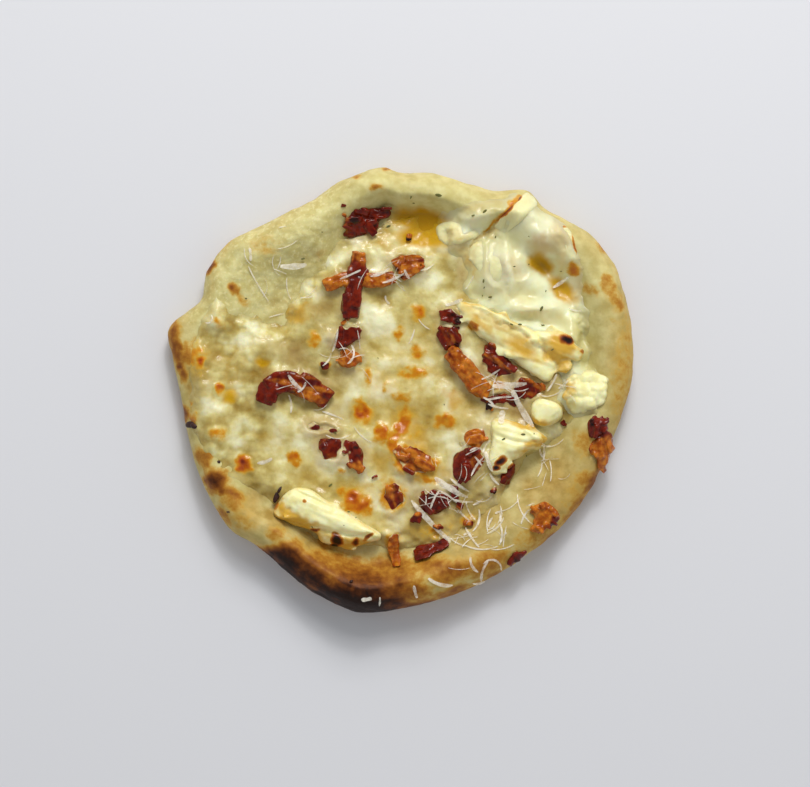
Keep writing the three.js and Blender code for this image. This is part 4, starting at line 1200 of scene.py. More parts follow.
CHICKEN_GOLD = [
    (-41, -47.5, 7, 2.6, -18, 1), (-45, -45.5, 2.6, 4, 0, 0.8), (-31, -55, 6, 2.6, -10, 0.6),
    (-19, -58, 8, 1.6, -5, 0.8), (25, 31, 5, 4, 0, 0.5), (30, 25, 8, 2.4, -38, 0.7),
    (58.7, 13.5, 6, 3.4, -10, 0.9), (46, 14.5, 9, 2, -28, 0.6), (52, -12.4, 6, 2.4, -10, 0.8),
    (51, -20, 8, 1.6, 30, 0.7), (63.6, 54, 2.4, 9, -10, 0.7), (43, 69, 10, 2, 49, 0.5),
    (27, 50, 1.6, 6, 0, 0.8), (30, 57, 6, 1.4, 25, 0.8), (17, 57, 5, 3, 0, 0.5),
    (45, 16.6, 9, 4.4, -25, 0.75), (60, 17, 6.5, 4, -10, 0.95), (37, 25, 12, 3.6, -26, 0.5),
    # The patches at (63, 3) and (45, -12.6) also paint shade on the chicken.
    (-38, -50, 9, 2, -10, 0.8), (20, 58.5, 7, 4, 15, 0.8), (63, 3, 4, 8, 0, 0.6),
    (45, -12.6, 8, 2.4, -15, 0.5),
]

# %% Creases: depth, half width, and the line they follow
CREASES = [
    (1.5, 1.1, [(-44, -49.6), (-37, -50.8), (-30, -52.4), (-22, -54.6), (-12, -55)]),
    (0.9, 0.8, [(-41, -37.6), (-35, -40.5), (-26, -44.5)]),
    (1.3, 0.8, [(35.6, 63.6), (40, 69), (45.6, 74.6)]),
    (0.8, 0.8, [(50, 22), (53.4, 18), (54.6, 12)]),
    (0.8, 0.9, [(36, -17), (44, -19.6), (52, -19)]),
    (0.7, 0.7, [(62.6, 60), (64.2, 55), (65.2, 50)]),
]


# %% How deep each piece sank, how curdled it is, and how much more sauce it carries
SUNK = {"fold": 1.15, "slab": 1.2, "sliver": 0.9, "curl": 1, "crumble": 0.6, "nub": 0.7,
        "long": 1.2, "triangle": 0.8, "lower_left": 0.6}
CURDLED = {"crumble": 1.5, "slab": 0.4, "curl": 0.5}
SAUCED = {"slab": 0.6, "curl": 0.2, "fold": 0.3, "sliver": 0.4, "nub": 0.2}


def creased(x, y):
    """How deep the creases press at each point."""
    depth = np.zeros(len(x))
    for press, half_width, line in CREASES:
        away = distance_from(smooth_line(line, closed=False, steps=3), x, y)
        depth = np.maximum(depth, press * np.exp(-(away / half_width) ** 2))
    return depth


# %% Make the chicken
CHICKEN_VOXEL = 0.4
CHICKEN_SMOOTHING = 20
CHICKEN_SEED = 700
SMALL_PLANK = (9, 5, 1.6)
LARGE_PLANK = (17, 9, 3)
FULL_SIZE = 30


def chicken_piece(name, height, heading, outline, seed):
    rng = np.random.default_rng(seed)
    loop = smooth_line(outline, steps=4)
    piece = slab("cooked_chicken_" + name, loop, [
        (0.92, -1.6), (1, 0.16 * height), (0.98, 0.42 * height), (0.9, 0.66 * height),
        (0.7, 0.84 * height), (0.35, 0.9 * height)])
    count = int(2 + np.prod(np.ptp(loop, axis=0)) / 150)
    fit = min(1, np.ptp(loop, axis=0).min() / FULL_SIZE)
    small, large = np.array(SMALL_PLANK) * fit, np.array(LARGE_PLANK) * fit
    lay_planks(piece, loop, 0.9 * height, heading, count, small, large, rng)
    skin_over(piece, CHICKEN_VOXEL, CHICKEN_SMOOTHING)
    piece = keep_largest(piece)
    roughen(piece, lambda points: (
        0.32 * crumble(along_fibres(points, heading, 6), 2.4, seed, 2)
        + 0.1 * grain(along_fibres(points, heading, 5), 1.1, seed + 5)
        + CURDLED.get(name, 0) * (pebbles(points, 3.4, seed + 6) - 0.5)
        + 0.4 * grain(points, 4.5, seed + 3)))
    flat = points_of(piece)
    x, y = flat[:, 0], flat[:, 1]
    flat[:, 2] -= creased(x, y) * smooth(0, 1.5, flat[:, 2])
    set_points(piece, flat)
    rise = flat[:, 2] / height
    draped = drape(piece)
    draped[:, 2] -= SUNK[name]
    set_points(piece, draped)
    near_edge = smooth(2.6, 0, inset_in(loop, x, y) + 0.9 * grain(flat, 2.6, seed + 8))
    threads = smooth(0.1, 1, crumble(along_fibres(flat, heading, 7), 1.7, seed + 11, 2))
    gold = patches(CHICKEN_GOLD, x, y, 1.2, 8, 1.4) + 0.4 * near_edge * smooth(0.95, 0.4, rise)
    sauce = smooth(2.1, 0.1, bareness(draped) + 0.6 * crumble(flat, 3, seed + 9, 2))
    paint(piece, MOST_BROWN, brown=patches(CHICKEN_BROWN, x, y, 0.6))
    paint(piece, golden=gold + 0.24 * threads, sauce=sauce + SAUCED.get(name, 0))
    return piece


chicken = make_all(CHICKEN, chicken_piece, CHICKEN_SEED)
bpy.data.objects.remove(plank)
print("pieces of chicken:", len(chicken))

# %% [markdown]
# ## Shreds of hard cheese
# Grated after baking, the shreds lie over everything, so they need to know how high the
# pizza is at each spot. A skyline is a map of the highest point in each small square. Each
# shred is a strip of flat steps that is bent, twisted and laid down on the skyline.

# %% The skyline of everything so far
CELL = 0.6
HALF_SPAN = 100
cells = int(2 * HALF_SPAN / CELL)
skyline = np.full((cells, cells), -1.0)
for piece in [dough, cheese, cream, crumbs, *bacon.values(), *chicken.values()]:
    points = points_of(piece)
    column = ((points[:, :2] + HALF_SPAN) / CELL).astype(int)
    np.maximum.at(skyline, (column[:, 0], column[:, 1]), points[:, 2])
print("highest point:", skyline.max().round(1), "mm")


def height_at(x, y):
    column = ((np.array([x, y]) + HALF_SPAN) / CELL).astype(int)
    return skyline[column[0] - 1:column[0] + 2, column[1] - 1:column[1] + 2].max()


# %% One shred: a flat strip cut into short lengths
SHRED_STEPS = 9
SHRED_THICKNESS = 0.1
deselect_all()
bpy.ops.mesh.primitive_cube_add(size=1)
shred = just_added("shred")
edit(shred)
for step in range(1, SHRED_STEPS):
    bpy.ops.mesh.select_all(action="SELECT")
    bpy.ops.mesh.bisect(plane_co=(step / SHRED_STEPS - 0.5, 0, 0), plane_no=(1, 0, 0))
bpy.ops.object.mode_set(mode="OBJECT")
flat_shred = points_of(shred) * MM + np.array([0.5, 0, 0])
share = np.linspace(0, 1, SHRED_STEPS + 1)


def lay_shred(x, y, heading, length, bend, width, curl, twist):
    """A copy of the strip, bent in plan, twisted, and resting on the skyline."""
    angle = np.radians(heading + 2 * bend * (share - 0.5))
    step = length / SHRED_STEPS
    middle_x = x + np.concatenate([[0], np.cumsum(np.cos(angle[:-1]) * step)])
    middle_y = y + np.concatenate([[0], np.cumsum(np.sin(angle[:-1]) * step)])
    middle_x += x - middle_x.mean()
    middle_y += y - middle_y.mean()
    ground = np.array([height_at(px, py) for px, py in zip(middle_x, middle_y)])
    fair = np.polyval(np.polyfit(share, ground, 3), share)
    padded = np.pad(ground, 1, mode="edge")
    sagging = (padded[:-2] + 2 * ground + padded[2:]) / 4
    rest = 0.35 * fair + 0.65 * sagging
    station = np.rint(flat_shred[:, 0] * SHRED_STEPS).astype(int)
    ragged = 1 - 0.55 * np.abs(2 * share - 1) ** 6 + 0.14 * np.sin(9 * share + x)
    out = flat_shred[:, 1] * 0.85 * width * ragged[station]
    roll = np.radians(twist * (2 * share - 0.6))[station]
    lift = 0.08 + 0.45 * width * np.abs(np.sin(roll)) * ragged[station]
    points = np.column_stack([
        middle_x[station] - np.sin(angle[station]) * out * np.cos(roll),
        middle_y[station] + np.cos(angle[station]) * out * np.cos(roll),
        rest[station] + lift + out * np.sin(roll) + flat_shred[:, 2] * SHRED_THICKNESS
        + (curl * (2 * share - 1) ** 2)[station]])
    copy = copy_of(shred, Matrix.Identity(4))
    set_points(copy, points)
    return copy


# %% Shreds that stand out: middle, heading, length, bend, width, curl, twist
NAMED_SHREDS = [
    (-41, 47.3, 5, 10, 10, 2.6, 0.3, 16), (-57.2, 51.5, 95, 5, 10, 1.2, 0.1, 10),
    (-54.5, 40.4, -60, 15, 5, 0.7, 0.1, 8), (-72.4, 26.6, 60, 5, 75, 0.7, 0.3, 10),
    (-36, 35.5, 5, 5, 10, 0.5, 0.1, 5), (-25, 19, 78, 9, 12, 0.9, 0.5, 20),
    (-28, 11.6, 60, 6, 25, 0.8, 0.5, 20), (-40.5, 3, -45, 7.5, 15, 1.7, 0.2, 15),
    (-8, 44.6, 25, 8, 14, 1.4, 0.3, 25), (-3, 42.4, 25, 9, 10, 1.1, 0.3, 20),
    (2, 44, -60, 4, 10, 1.2, 0.2, 10), (8.5, 25, -40, 6, 20, 0.5, 0.1, 5),
    (4, 20.5, 70, 6, 12, 0.7, 0.2, 10), (41, 2, 5, 13, 8, 2.6, 0.4, 25),
    (34, 6, 30, 8, 10, 0.9, 0.3, 20), (45.8, -7, -59, 16, 6, 2.6, 0.2, 12),
    (38, -10, 80, 5, 10, 2.6, 0.2, 15), (33, -27, -70, 8, 10, 1.6, 0.2, 15),
    (35, -33.6, -50, 6, 15, 1, 0.2, 15), (17.5, -36.5, -32, 12, 10, 2.6, 0.2, 18),
    (20, -38, -28, 12, 8, 1.4, 0.4, 20), (22, -36, -35, 9, 8, 1.2, 0.4, 20),
    (10.8, -49.6, -46, 21, 5, 2.2, 0.2, 10), (26, -46, -60, 8, 20, 0.7, 0.2, 10),
    (57.5, -20.5, 20, 10, 40, 0.5, 0.2, 5), (53, -30, 75, 6, 20, 0.6, 0.2, 5),
    (46, -45.5, -60, 13, 30, 0.6, 0.2, 8), (41, -44, 35, 11, 30, 0.5, 0.2, 8),
    (21, -57.5, -25, 8, 20, 0.6, 0.2, 8), (30, -59.5, 0, 13, 25, 0.7, 0.2, 8),
    (38.5, -59.6, 15, 9, 20, 0.5, 0.2, 8), (14.6, -72.8, -14, 10, 24, 1.6, 0.3, 14),
    (35, -65.4, -30, 10, -75, 0.9, 0.3, 10), (5.2, -76, -75, 5, 8, 1.3, 0.1, 8),
    (-13.2, -78.8, 10, 4, 10, 1.7, 0.1, 8), (-8.2, -79.8, 88, 3.6, 8, 0.8, 0.1, 6),
    (27, -66, -60, 7, 36, 1.2, 0.2, 8), (31, -68.6, 72, 9, -25, 1.1, 0.2, 8),
    (29.4, -73.2, 12, 5, 30, 0.9, 0.2, 8), (60.5, 41, 35, 7, 5, 1.4, 0.2, 10),
    (66, 30.5, -10, 5, 15, 0.6, 0.2, 8), (20, 33.4, 20, 7, 12, 1.6, 0.2, 15),
    (-24, -17.6, 5, 10, 35, 0.5, 0.3, 8), (-15, -17, -40, 9, 20, 0.5, 0.3, 8),
    (-52, -27, 20, 6, 20, 1.6, 0.1, 8), (10, 46.6, 30, 6, 20, 0.7, 0.3, 10),
    (26, 41, 60, 6, 10, 0.5, 0.2, 8), (-45, 62, 10, 3, 10, 0.4, 0.1, 5),
]

# %% Fields of shreds: middle, spread each way, how many, heading and its spread
SHRED_FIELDS = [
    (16, -41, 9, 5, 16, -30, 25), (38, 1, 9, 5, 14, 20, 50), (38, -48, 15, 8, 17, 10, 60),
    (27, -26, 6, 6, 12, 60, 40), (24, -68, 14, 4, 9, 20, 60), (-6, 44, 9, 4, 9, 20, 40),
    (54, -28, 8, 10, 10, 70, 50), (-22, 16, 8, 8, 5, 60, 30), (-50, 44, 18, 14, 9, 40, 70),
    (-38, 1, 9, 4, 5, -30, 30), (28, -54, 14, 5, 14, 0, 60), (62, 2, 8, 8, 5, 40, 60),
    (0, 0, 60, 50, 10, 40, 80),
]
SHRED_MARGIN = 8
SHRED_WIDTHS = (0.22, 0.32, 0.5, 0.9)


def spots_in(fields, rng):
    """Random spots in each field, with whatever else its row says."""
    for field_x, field_y, spread_x, spread_y, count, *rest in fields:
        for _ in range(count):
            yield rng.normal((field_x, field_y), (spread_x / 2, spread_y / 2)), rest


rng = np.random.default_rng(77)
strips = [lay_shred(*row) for row in NAMED_SHREDS]
for spot, (heading, turn) in spots_in(SHRED_FIELDS, rng):
    length = rng.uniform(3, 9.5)
    if inset_from_edge(*spot) > SHRED_MARGIN:
        strips.append(lay_shred(
            *spot, rng.normal(heading, turn), length, rng.normal(0, 26),
            rng.choice(SHRED_WIDTHS), rng.uniform(0, 0.3), rng.uniform(0, 22)))
shreds = join_all(strips, "hard_cheese_shreds")
bpy.data.objects.remove(shred)
print("shreds:", len(strips))

# %% [markdown]
# ## Flecks of herb and burnt flakes
# Dark green flecks are stirred into the cream, and a few land elsewhere. One small flake is
# modelled, then copied with its own size and turn. Burnt flakes are the same, only larger.

# %% Scatter the flecks
FLECKS = [
    (53, 31, 1.1, 60), (31.4, 67.6, 1, 40), (27, 66, 0.7, 20), (31, 41.4, 0.8, 80),
    (33.6, 35.4, 0.8, 10), (41.6, 25, 0.7, -20), (44.8, 25, 0.8, 0), (53.8, 24.8, 0.6, 0),
    (14, 73.8, 1.3, -10), (3.6, 73, 0.7, 60), (-5, 62.6, 0.9, 20), (-37.4, 50, 0.8, 10),
    (57, 15.4, 0.6, 30), (46, -16.6, 0.9, 0), (38.6, -18.4, 0.8, 30), (-27, -36, 0.9, 40),
    (-30, 60, 0.4, 0), (4.6, 71, 0.5, 0), (-59, 35, 0.5, 0), (-20, -46, 0.6, 0),
]
FLECK_FIELDS = [(46, 44, 20, 24, 9), (-24, -50, 14, 6, 3), (44, -20, 8, 8, 2), (0, 0, 50, 50, 5)]
FLECK_MARGIN = 6
FLECK_THICKNESS = 0.12
rng = np.random.default_rng(83)
for spot, _ in spots_in(FLECK_FIELDS, rng):
    if inset_from_edge(*spot) > FLECK_MARGIN:
        FLECKS.append((*spot, rng.uniform(0.25, 0.6), rng.uniform(0, 180)))
deselect_all()
bpy.ops.mesh.primitive_ico_sphere_add(subdivisions=2, radius=1)
flake = just_added("flake")
flecks = []
for fleck_x, fleck_y, length, heading in FLECKS:
    place = (fleck_x, fleck_y, height_at(fleck_x, fleck_y) + 0.02)
    size = (length, 0.45 * length, FLECK_THICKNESS)
    flecks.append(copy_of(flake, turned(place, heading, 0, rng.normal(0, 10), size)))
herbs = join_all(flecks, "herb_flecks")
print("flecks:", len(flecks))

# %% Burnt flakes: a tip at the left edge, a leaf by the chicken, specks on the char
BURNT_FLAKES = [
    (-80.4, -13, 2.3, 1.3, 8, -34), (-78.8, -13.4, 1.6, 1, -20, -24),
    (-47.6, -40.4, 2.6, 1.1, 65, 6), (-46.4, -37.8, 1.6, 0.6, 60, 6), (-69.2, -27, 0.7, 0.5, 0, 0),
    (-65.6, -46, 0.7, 0.4, 0, 0), (-19, -72, 0.8, 0.5, 30, 0),
]
FLAKE_THICKNESS = 0.5
FLAKE_SUNK = 0.1
flakes = []
for flake_x, flake_y, length, width, heading, tilt in BURNT_FLAKES:
    place = (flake_x, flake_y, height_at(flake_x, flake_y) - FLAKE_SUNK)
    size = (length, width, FLAKE_THICKNESS)
    flakes.append(copy_of(flake, turned(place, heading, tilt, 0, size)))
burnt = join_all(flakes, "burnt_flakes")
points = points_of(burnt)
points += 0.18 * np.column_stack([grain(points, 1.2, seed) for seed in (91, 92, 93)])
set_points(burnt, points)
bpy.data.objects.remove(flake)
print("burnt flakes:", len(flakes))

# %% [markdown]
# ## Materials
# Colours are given as on a screen and turned into the linear values that shaders use. Each
# material reads the numbers painted on its mesh, breaks them up with noise and blends from
# colour to colour. What several materials share is a node group.

# %% Colours and node helpers
def colour(red, green, blue):
    """A screen colour from 0 to 255 as linear values."""
    parts = np.array([red, green, blue]) / 255
    linear = np.where(parts <= 0.04045, parts / 12.92, ((parts + 0.055) / 1.055) ** 2.4)
    return (*linear, 1)


def connect(tree, value, socket):
    if isinstance(value, bpy.types.NodeSocket):
        tree.links.new(value, socket)
    else:
        socket.default_value = value


def add_node(tree, kind, inputs=None, **settings):
    node = tree.nodes.new(kind)
    for key, value in settings.items():
        setattr(node, key, value)
    for key, value in (inputs or {}).items():
        connect(tree, value, node.inputs[key])
    return node


def ramp(tree, value, stops):
    """A colour ramp from nought to one, with a row of place and screen colour for each stop."""
    node = add_node(tree, "ShaderNodeValToRGB", {"Fac": value})
    elements = node.color_ramp.elements
    elements[0].color = colour(*stops[0][1:])
    elements[1].color = colour(*stops[-1][1:])
    for place, *parts in stops[1:-1]:
        elements.new(place).color = colour(*parts)
    return node.outputs["Color"]


def mix(tree, share, first, second):
    """Blends two shades, each of them a socket or a screen colour."""
    first, second = (colour(*end) if isinstance(end, tuple) else end for end in (first, second))
    return add_node(tree, "ShaderNodeMix", {0: share, 6: first, 7: second},
                    data_type="RGBA").outputs[2]


def maths(tree, how, first, second):
    return add_node(tree, "ShaderNodeMath", {0: first, 1: second}, operation=how).outputs[0]


def times(tree, first, second):
    return maths(tree, "MULTIPLY", first, second)


def between(tree, value, low, high, start=0.0, end=1.0):
    """Turns smoothly from start to end as a value goes from low to high."""
    return add_node(tree, "ShaderNodeMapRange", {
        "Value": value, "From Min": low, "From Max": high, "To Min": start, "To Max": end},
        interpolation_type="SMOOTHSTEP").outputs["Result"]


def painted(tree, name):
    return add_node(tree, "ShaderNodeAttribute", attribute_name=name).outputs["Fac"]


# %% Shared groups: a mask with a broken edge, and fine relief with mottling
def new_group(name, inputs, outputs):
    group = bpy.data.node_groups.new(name, "ShaderNodeTree")
    for socket, value in inputs:
        made = group.interface.new_socket(socket, in_out="INPUT", socket_type="NodeSocketFloat")
        made.default_value = value
    for socket in outputs:
        group.interface.new_socket(socket, in_out="OUTPUT", socket_type="NodeSocketFloat")
    return group, group.nodes.new("NodeGroupInput"), group.nodes.new("NodeGroupOutput")


def noise_in(tree, scale, detail, roughness=0.5):
    place = add_node(tree, "ShaderNodeTexCoord").outputs["Object"]
    return add_node(tree, "ShaderNodeTexNoise", {
        "Vector": place, "Scale": scale, "Detail": detail, "Roughness": roughness}).outputs["Fac"]


broken_edge, start, end = new_group(
    "Broken edge", [("Mask", 0), ("Scale", 400), ("Amount", 0.3)], ["Mask"])
noise = noise_in(broken_edge, start.outputs["Scale"], 4.0, 0.6)
shift = times(broken_edge, maths(broken_edge, "SUBTRACT", noise, 0.5), start.outputs["Amount"])
shift = times(broken_edge, shift, between(broken_edge, start.outputs["Mask"], 0.0, 0.25))
connect(broken_edge, maths(broken_edge, "ADD", start.outputs["Mask"], shift), end.inputs["Mask"])

fine_relief, start, end = new_group(
    "Fine relief", [("Large", 300), ("Small", 1400), ("Share", 0.5)], ["Height", "Mottle"])
large = noise_in(fine_relief, start.outputs["Large"], 3.0)
small = noise_in(fine_relief, start.outputs["Small"], 2.0)
both = add_node(fine_relief, "ShaderNodeMix", {0: start.outputs["Share"], 2: large, 3: small})
connect(fine_relief, both.outputs[0], end.inputs["Height"])
connect(fine_relief, large, end.inputs["Mottle"])


def use_group(tree, group, **inputs):
    node = tree.nodes.new("ShaderNodeGroup")
    node.node_tree = group
    for key, value in inputs.items():
        connect(tree, value, node.inputs[key])
    return node


# %% A new material, its masks, its mottling and its relief
def new_material(name, roughness, specular=0.5, subsurface=0.0, coat=0.0, radius=(4, 2.5, 1)):
    """Light spreads under the surface by a radius in millimetres for red, green and blue."""
    material = bpy.data.materials.new(name)
    material.use_nodes = True
    shader = material.node_tree.nodes["Principled BSDF"]
    values = {
        "Roughness": roughness, "Specular IOR Level": specular, "IOR": 1.42,
        "Subsurface Weight": subsurface, "Subsurface Radius": [part * MM for part in radius],
        "Subsurface Scale": 1.0, "Coat Weight": coat, "Coat Roughness": 0.1}
    for key, value in values.items():
        shader.inputs[key].default_value = value
    return material, material.node_tree, shader


def broken_mask(tree, name, scale, amount):
    """A painted mask whose edge is broken up by noise."""
    mask = use_group(tree, broken_edge, Mask=painted(tree, name), Scale=scale, Amount=amount)
    return mask.outputs["Mask"]


def relief_of(tree, large, small, share):
    """Sockets for fine height and for mottling."""
    relief = use_group(tree, fine_relief, Large=large, Small=small, Share=share)
    return relief.outputs["Height"], relief.outputs["Mottle"]


def mottled(tree, mottle, low=0.0, high=1.0):
    return between(tree, mottle, 0.3, 0.7, low, high)


def oiled(tree, shade, oil_colour):
    """Lets clear oil tint a shade."""
    return mix(tree, between(tree, painted(tree, "oil"), 0.1, 0.75, 0.0, 0.97), shade, oil_colour)


def finish_surface(tree, shader, shade, height, depth, roughness=None):
    """Connects the colour, and a relief with its depth in millimetres."""
    connect(tree, shade, shader.inputs["Base Color"])
    bump = add_node(tree, "ShaderNodeBump", {
        "Height": height, "Distance": depth * MM, "Strength": 1.0})
    connect(tree, bump.outputs["Normal"], shader.inputs["Normal"])
    if roughness is not None:
        connect(tree, roughness, shader.inputs["Roughness"])


# %% Baked dough
DOUGH_TOASTING = [
    (0, 206, 184, 112), (0.2, 198, 160, 74), (0.36, 176, 122, 40), (0.52, 142, 84, 22),
    (0.7, 104, 54, 12), (0.86, 64, 28, 5), (1, 34, 13, 3),
]
baked, tree, shader = new_material("Baked dough", 0.5, specular=0.22, subsurface=0.12)
height, mottle = relief_of(tree, 240.0, 1200.0, 0.35)
pale = mix(tree, mottled(tree, mottle), (197, 184, 116), (214, 205, 144))
# Tan from baking, which in places is painted shade.
tanned = mix(tree, mottled(tree, mottle), (160, 128, 58), (192, 160, 88))
shade = mix(tree, painted(tree, "tan"), pale, tanned)
# Pale specks on the far left: crumbs that baked on, and painted highlights that also lighten the
# shaded slope there.
speckle = between(tree, noise_in(tree, 700.0, 2.0), 0.5, 0.68)
crumbs_and_highlights = times(tree, speckle, painted(tree, "crumbs"))
shade = mix(tree, times(tree, crumbs_and_highlights, 0.35), shade, (240, 232, 176))
toasted = broken_mask(tree, "brown", 420.0, 0.5)
toast = ramp(tree, toasted, DOUGH_TOASTING)
shade = mix(tree, between(tree, toasted, 0.04, 0.28), shade, toast)
shade = oiled(tree, shade, (192, 142, 2))
rough = between(tree, painted(tree, "oil"), 0.1, 0.6, 0.52, 0.2)
finish_surface(tree, shader, shade, height, 0.25, rough)

# %% What the melted cheese and the cream share
CHEESE_TOASTING = [
    (0, 222, 196, 108), (0.2, 212, 168, 56), (0.36, 204, 138, 22), (0.52, 192, 106, 8),
    (0.7, 168, 74, 5), (0.85, 128, 42, 4), (1, 84, 20, 4),
]
# The tan and the grease tints also paint shade.
DAIRY_TINTS = [
    ("tan", 0.75, (174, 150, 84)), ("golden", 0.78, (204, 156, 42)), ("stain", 0.6, (178, 144, 98)),
]


def dairy(tree, mottle, shades):
    """From translucent fat to white curd, with golden, tanned, greasy, browned and oily places, and
    painted shade.
    """
    uneven = times(tree, maths(tree, "SUBTRACT", mottled(tree, mottle), 0.5), 0.3)
    shade = ramp(tree, maths(tree, "ADD", painted(tree, "white"), uneven), shades)
    for name, most, tint in DAIRY_TINTS:
        shade = mix(tree, times(tree, painted(tree, name), most), shade, tint)
    toasted = broken_mask(tree, "brown", 520.0, 0.42)
    toast = ramp(tree, toasted, CHEESE_TOASTING)
    shade = mix(tree, between(tree, toasted, 0.04, 0.34), shade, toast)
    return oiled(tree, shade, (206, 158, 4))


# %% Melted cheese
CHEESE_SHADES = [(0, 158, 130, 60), (0.3, 188, 168, 96), (0.6, 218, 206, 140), (1, 244, 241, 200)]
melted, tree, shader = new_material(
    "Melted cheese", 0.3, specular=0.3, subsurface=0.3, coat=0.14, radius=(4.5, 3, 1.2))
height, mottle = relief_of(tree, 200.0, 1300.0, 0.5)
shade = dairy(tree, mottle, CHEESE_SHADES)
finish_surface(tree, shader, shade, height, 0.15, mottled(tree, mottle, 0.22, 0.38))

# %% Cream sauce
CREAM_SHADES = [
    (0, 210, 202, 140), (0.35, 224, 221, 168), (0.7, 234, 236, 194), (1, 244, 246, 212),
]
creamy, tree, shader = new_material(
    "Cream sauce", 0.32, specular=0.3, subsurface=0.35, coat=0.15, radius=(5, 3.6, 1.8))
height, mottle = relief_of(tree, 150.0, 800.0, 0.2)
finish_surface(tree, shader, dairy(tree, mottle, CREAM_SHADES), height, 0.1)

# %% Bacon
crisp, tree, shader = new_material(
    "Crisp bacon", 0.2, specular=0.2, subsurface=0.35, coat=0.25, radius=(2.6, 0.8, 0.2))
height, mottle = relief_of(tree, 420.0, 1800.0, 0.4)
lean = mix(tree, mottled(tree, mottle), (82, 10, 3), (124, 32, 6))
amber = mix(tree, mottled(tree, mottle), (148, 66, 8), (202, 124, 34))
fatty = between(tree, broken_mask(tree, "fat", 600.0, 0.35), 0.1, 0.9)
shade = mix(tree, fatty, lean, amber)
burnt_share = between(tree, broken_mask(tree, "char", 900.0, 0.5), 0.2, 0.9)
shade = mix(tree, burnt_share, shade, (40, 9, 3))
film = between(tree, broken_mask(tree, "film", 500.0, 0.5), 0.15, 0.95, 0.0, 0.92)
shade = mix(tree, film, shade, (218, 196, 140))
finish_surface(tree, shader, shade, height, 0.12)

# %% Chicken
CHICKEN_TOASTING = [
    (0, 226, 186, 92), (0.3, 206, 142, 46), (0.5, 160, 84, 20), (0.7, 104, 42, 12),
    (0.85, 52, 20, 10), (1, 24, 10, 8),
]
cooked, tree, shader = new_material(
    "Cooked chicken", 0.38, specular=0.3, subsurface=0.3, coat=0.12, radius=(4, 3, 1.4))
height, mottle = relief_of(tree, 300.0, 1100.0, 0.4)
pale = mix(tree, mottled(tree, mottle), (242, 234, 164), (252, 248, 196))
golden = between(tree, broken_mask(tree, "golden", 260.0, 0.5), 0.1, 0.9, 0.0, 0.92)
shade = mix(tree, golden, pale, (214, 164, 34))
sauce = between(tree, broken_mask(tree, "sauce", 300.0, 0.4), 0.1, 0.95, 0.0, 0.8)
shade = mix(tree, sauce, shade, (226, 220, 166))
toasted = broken_mask(tree, "brown", 600.0, 0.4)
toast = ramp(tree, toasted, CHICKEN_TOASTING)
shade = mix(tree, between(tree, toasted, 0.1, 0.34), shade, toast)
finish_surface(tree, shader, shade, height, 0.12)


# %% Shreds, herbs and burnt flakes
def two_shades(name, roughness, scales, dark, light, depth, alpha=None):
    """A material that turns from one shade to another with its mottling."""
    material, tree, shader = new_material(name, roughness)
    height, mottle = relief_of(tree, *scales, 0.5)
    finish_surface(tree, shader, mix(tree, mottle, dark, light), height, depth)
    if alpha:
        connect(tree, mottled(tree, mottle, *alpha), shader.inputs["Alpha"])
    return material


grated = two_shades("Grated hard cheese", 0.34, (500.0, 1600.0), (250, 238, 214), (255, 253, 242),
                    0.1, alpha=(0.2, 0.52))
leafy = two_shades("Dried herb", 0.6, (900.0, 2000.0), (62, 64, 24), (120, 118, 52), 0.1)
burnt_black = two_shades("Burnt black", 0.4, (900.0, 2000.0), (14, 8, 8), (72, 34, 24), 0.12)
print("materials:", len(bpy.data.materials))

# %% [markdown]
# ## Finish the pieces
# Each piece gets its material and rides with the pizza, and the plain solid it stands for, if any,
# is hidden.

# %% Dress and attach
def finish_piece(piece, material, nodes, rounded=True):
    only(piece)
    if rounded:
        bpy.ops.object.shade_smooth()
    else:
        bpy.ops.object.shade_flat()
    piece.data.materials.clear()
    piece.data.materials.append(material)
    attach(piece, "root")
    if nodes:
        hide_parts(*nodes)
    piece.data.calc_loop_triangles()
    print(piece.name, len(piece.data.loop_triangles), "triangles")


finish_piece(dough, baked, ["dough"])
finish_piece(cheese, melted, ["melted_cheese"])
finish_piece(cream, creamy, ["cream_sauce"])
for name, piece in bacon.items():
    finish_piece(piece, crisp, ["bacon_" + name])
for name, piece in chicken.items():
    finish_piece(piece, cooked, ["chicken_" + name])
finish_piece(crumbs, crisp, [])
finish_piece(shreds, grated, [], rounded=False)
finish_piece(herbs, leafy, [])
finish_piece(burnt, burnt_black, [])

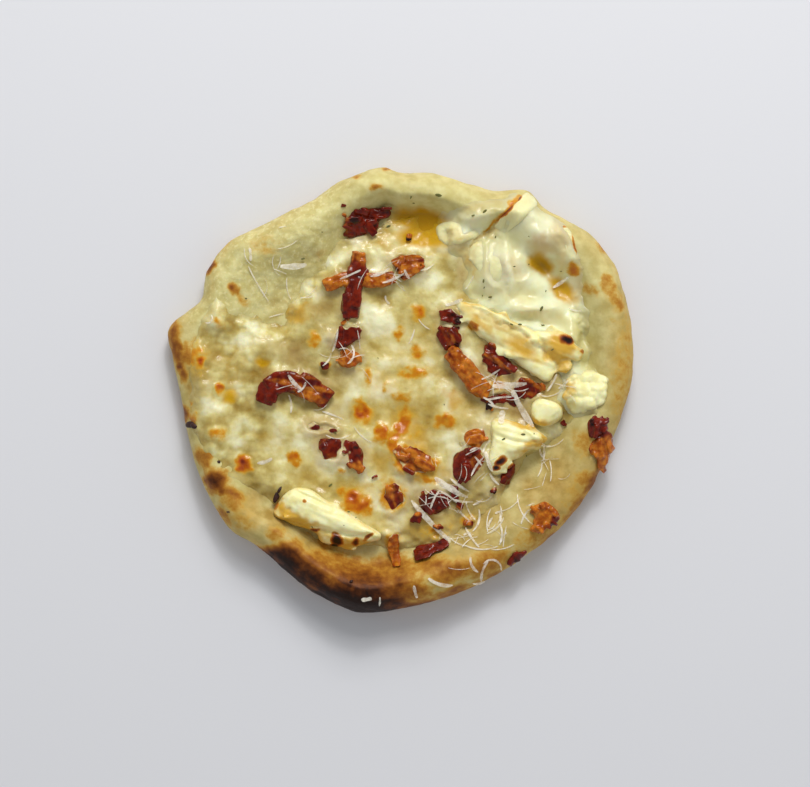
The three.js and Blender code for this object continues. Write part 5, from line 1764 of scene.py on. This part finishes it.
# %% [markdown]
# ## Floor, light and camera
# The pizza lies on a plain pale floor. A large soft light comes from beyond the far rim, with
# a smaller one in the same place for the glints. The sky is pale near the horizon and darker
# overhead, so that surfaces that face the camera keep their deep colours. The camera looks
# straight down.

# %% Stage
deselect_all()
bpy.ops.mesh.primitive_plane_add(size=3)
floor = just_added("floor")
pale_floor, tree, shader = new_material("Pale floor", 0.7)
shader.inputs["Base Color"].default_value = colour(222, 222, 225)
floor.data.materials.append(pale_floor)

KEY_PLACE = Vector((0.18, 1.1, 1.02))


def area_light(name, size, energy):
    bpy.ops.object.light_add(type="AREA", location=KEY_PLACE)
    light = just_added(name)
    light.data.size = size
    light.data.energy = energy
    light.rotation_euler = (-KEY_PLACE).to_track_quat("-Z", "Y").to_euler()


area_light("soft_key", 0.7, 14)
area_light("glints", 0.16, 4)

# %% Sky
ZENITH = 0.2
HORIZON = 0.72
world = bpy.data.worlds.new("Pale sky")
bpy.context.scene.world = world
world.use_nodes = True
tree = world.node_tree
direction = add_node(tree, "ShaderNodeTexCoord").outputs["Generated"]
upward = add_node(tree, "ShaderNodeSeparateXYZ", {0: direction}).outputs["Z"]
squared = times(tree, upward, upward)
background = tree.nodes["Background"]
background.inputs["Color"].default_value = (0.96, 0.98, 1, 1)
strength = add_node(tree, "ShaderNodeMapRange", {
    "Value": squared, "From Min": 0.0, "From Max": 1.0, "To Min": HORIZON, "To Max": ZENITH})
connect(tree, strength.outputs["Result"], background.inputs["Strength"])
bpy.context.scene.view_settings.view_transform = "Standard"

# %% Camera
PHOTO_WIDTH = 810
SIZE_OF_PIXEL = 0.38
CAMERA_DISTANCE = 1000
TOPPING_LEVEL = 12
PHOTO_MIDDLE = (1.33, -1.14)
SENSOR_WIDTH = 36
bpy.ops.object.camera_add()
camera = just_added("straight_down")
camera.location = Vector((*PHOTO_MIDDLE, TOPPING_LEVEL + CAMERA_DISTANCE)) * MM
camera.rotation_euler = (0, 0, 0)
camera.data.sensor_width = SENSOR_WIDTH
camera.data.lens = SENSOR_WIDTH * CAMERA_DISTANCE / (PHOTO_WIDTH * SIZE_OF_PIXEL)
bpy.context.scene.camera = camera
print("lens:", round(camera.data.lens, 1), "mm")
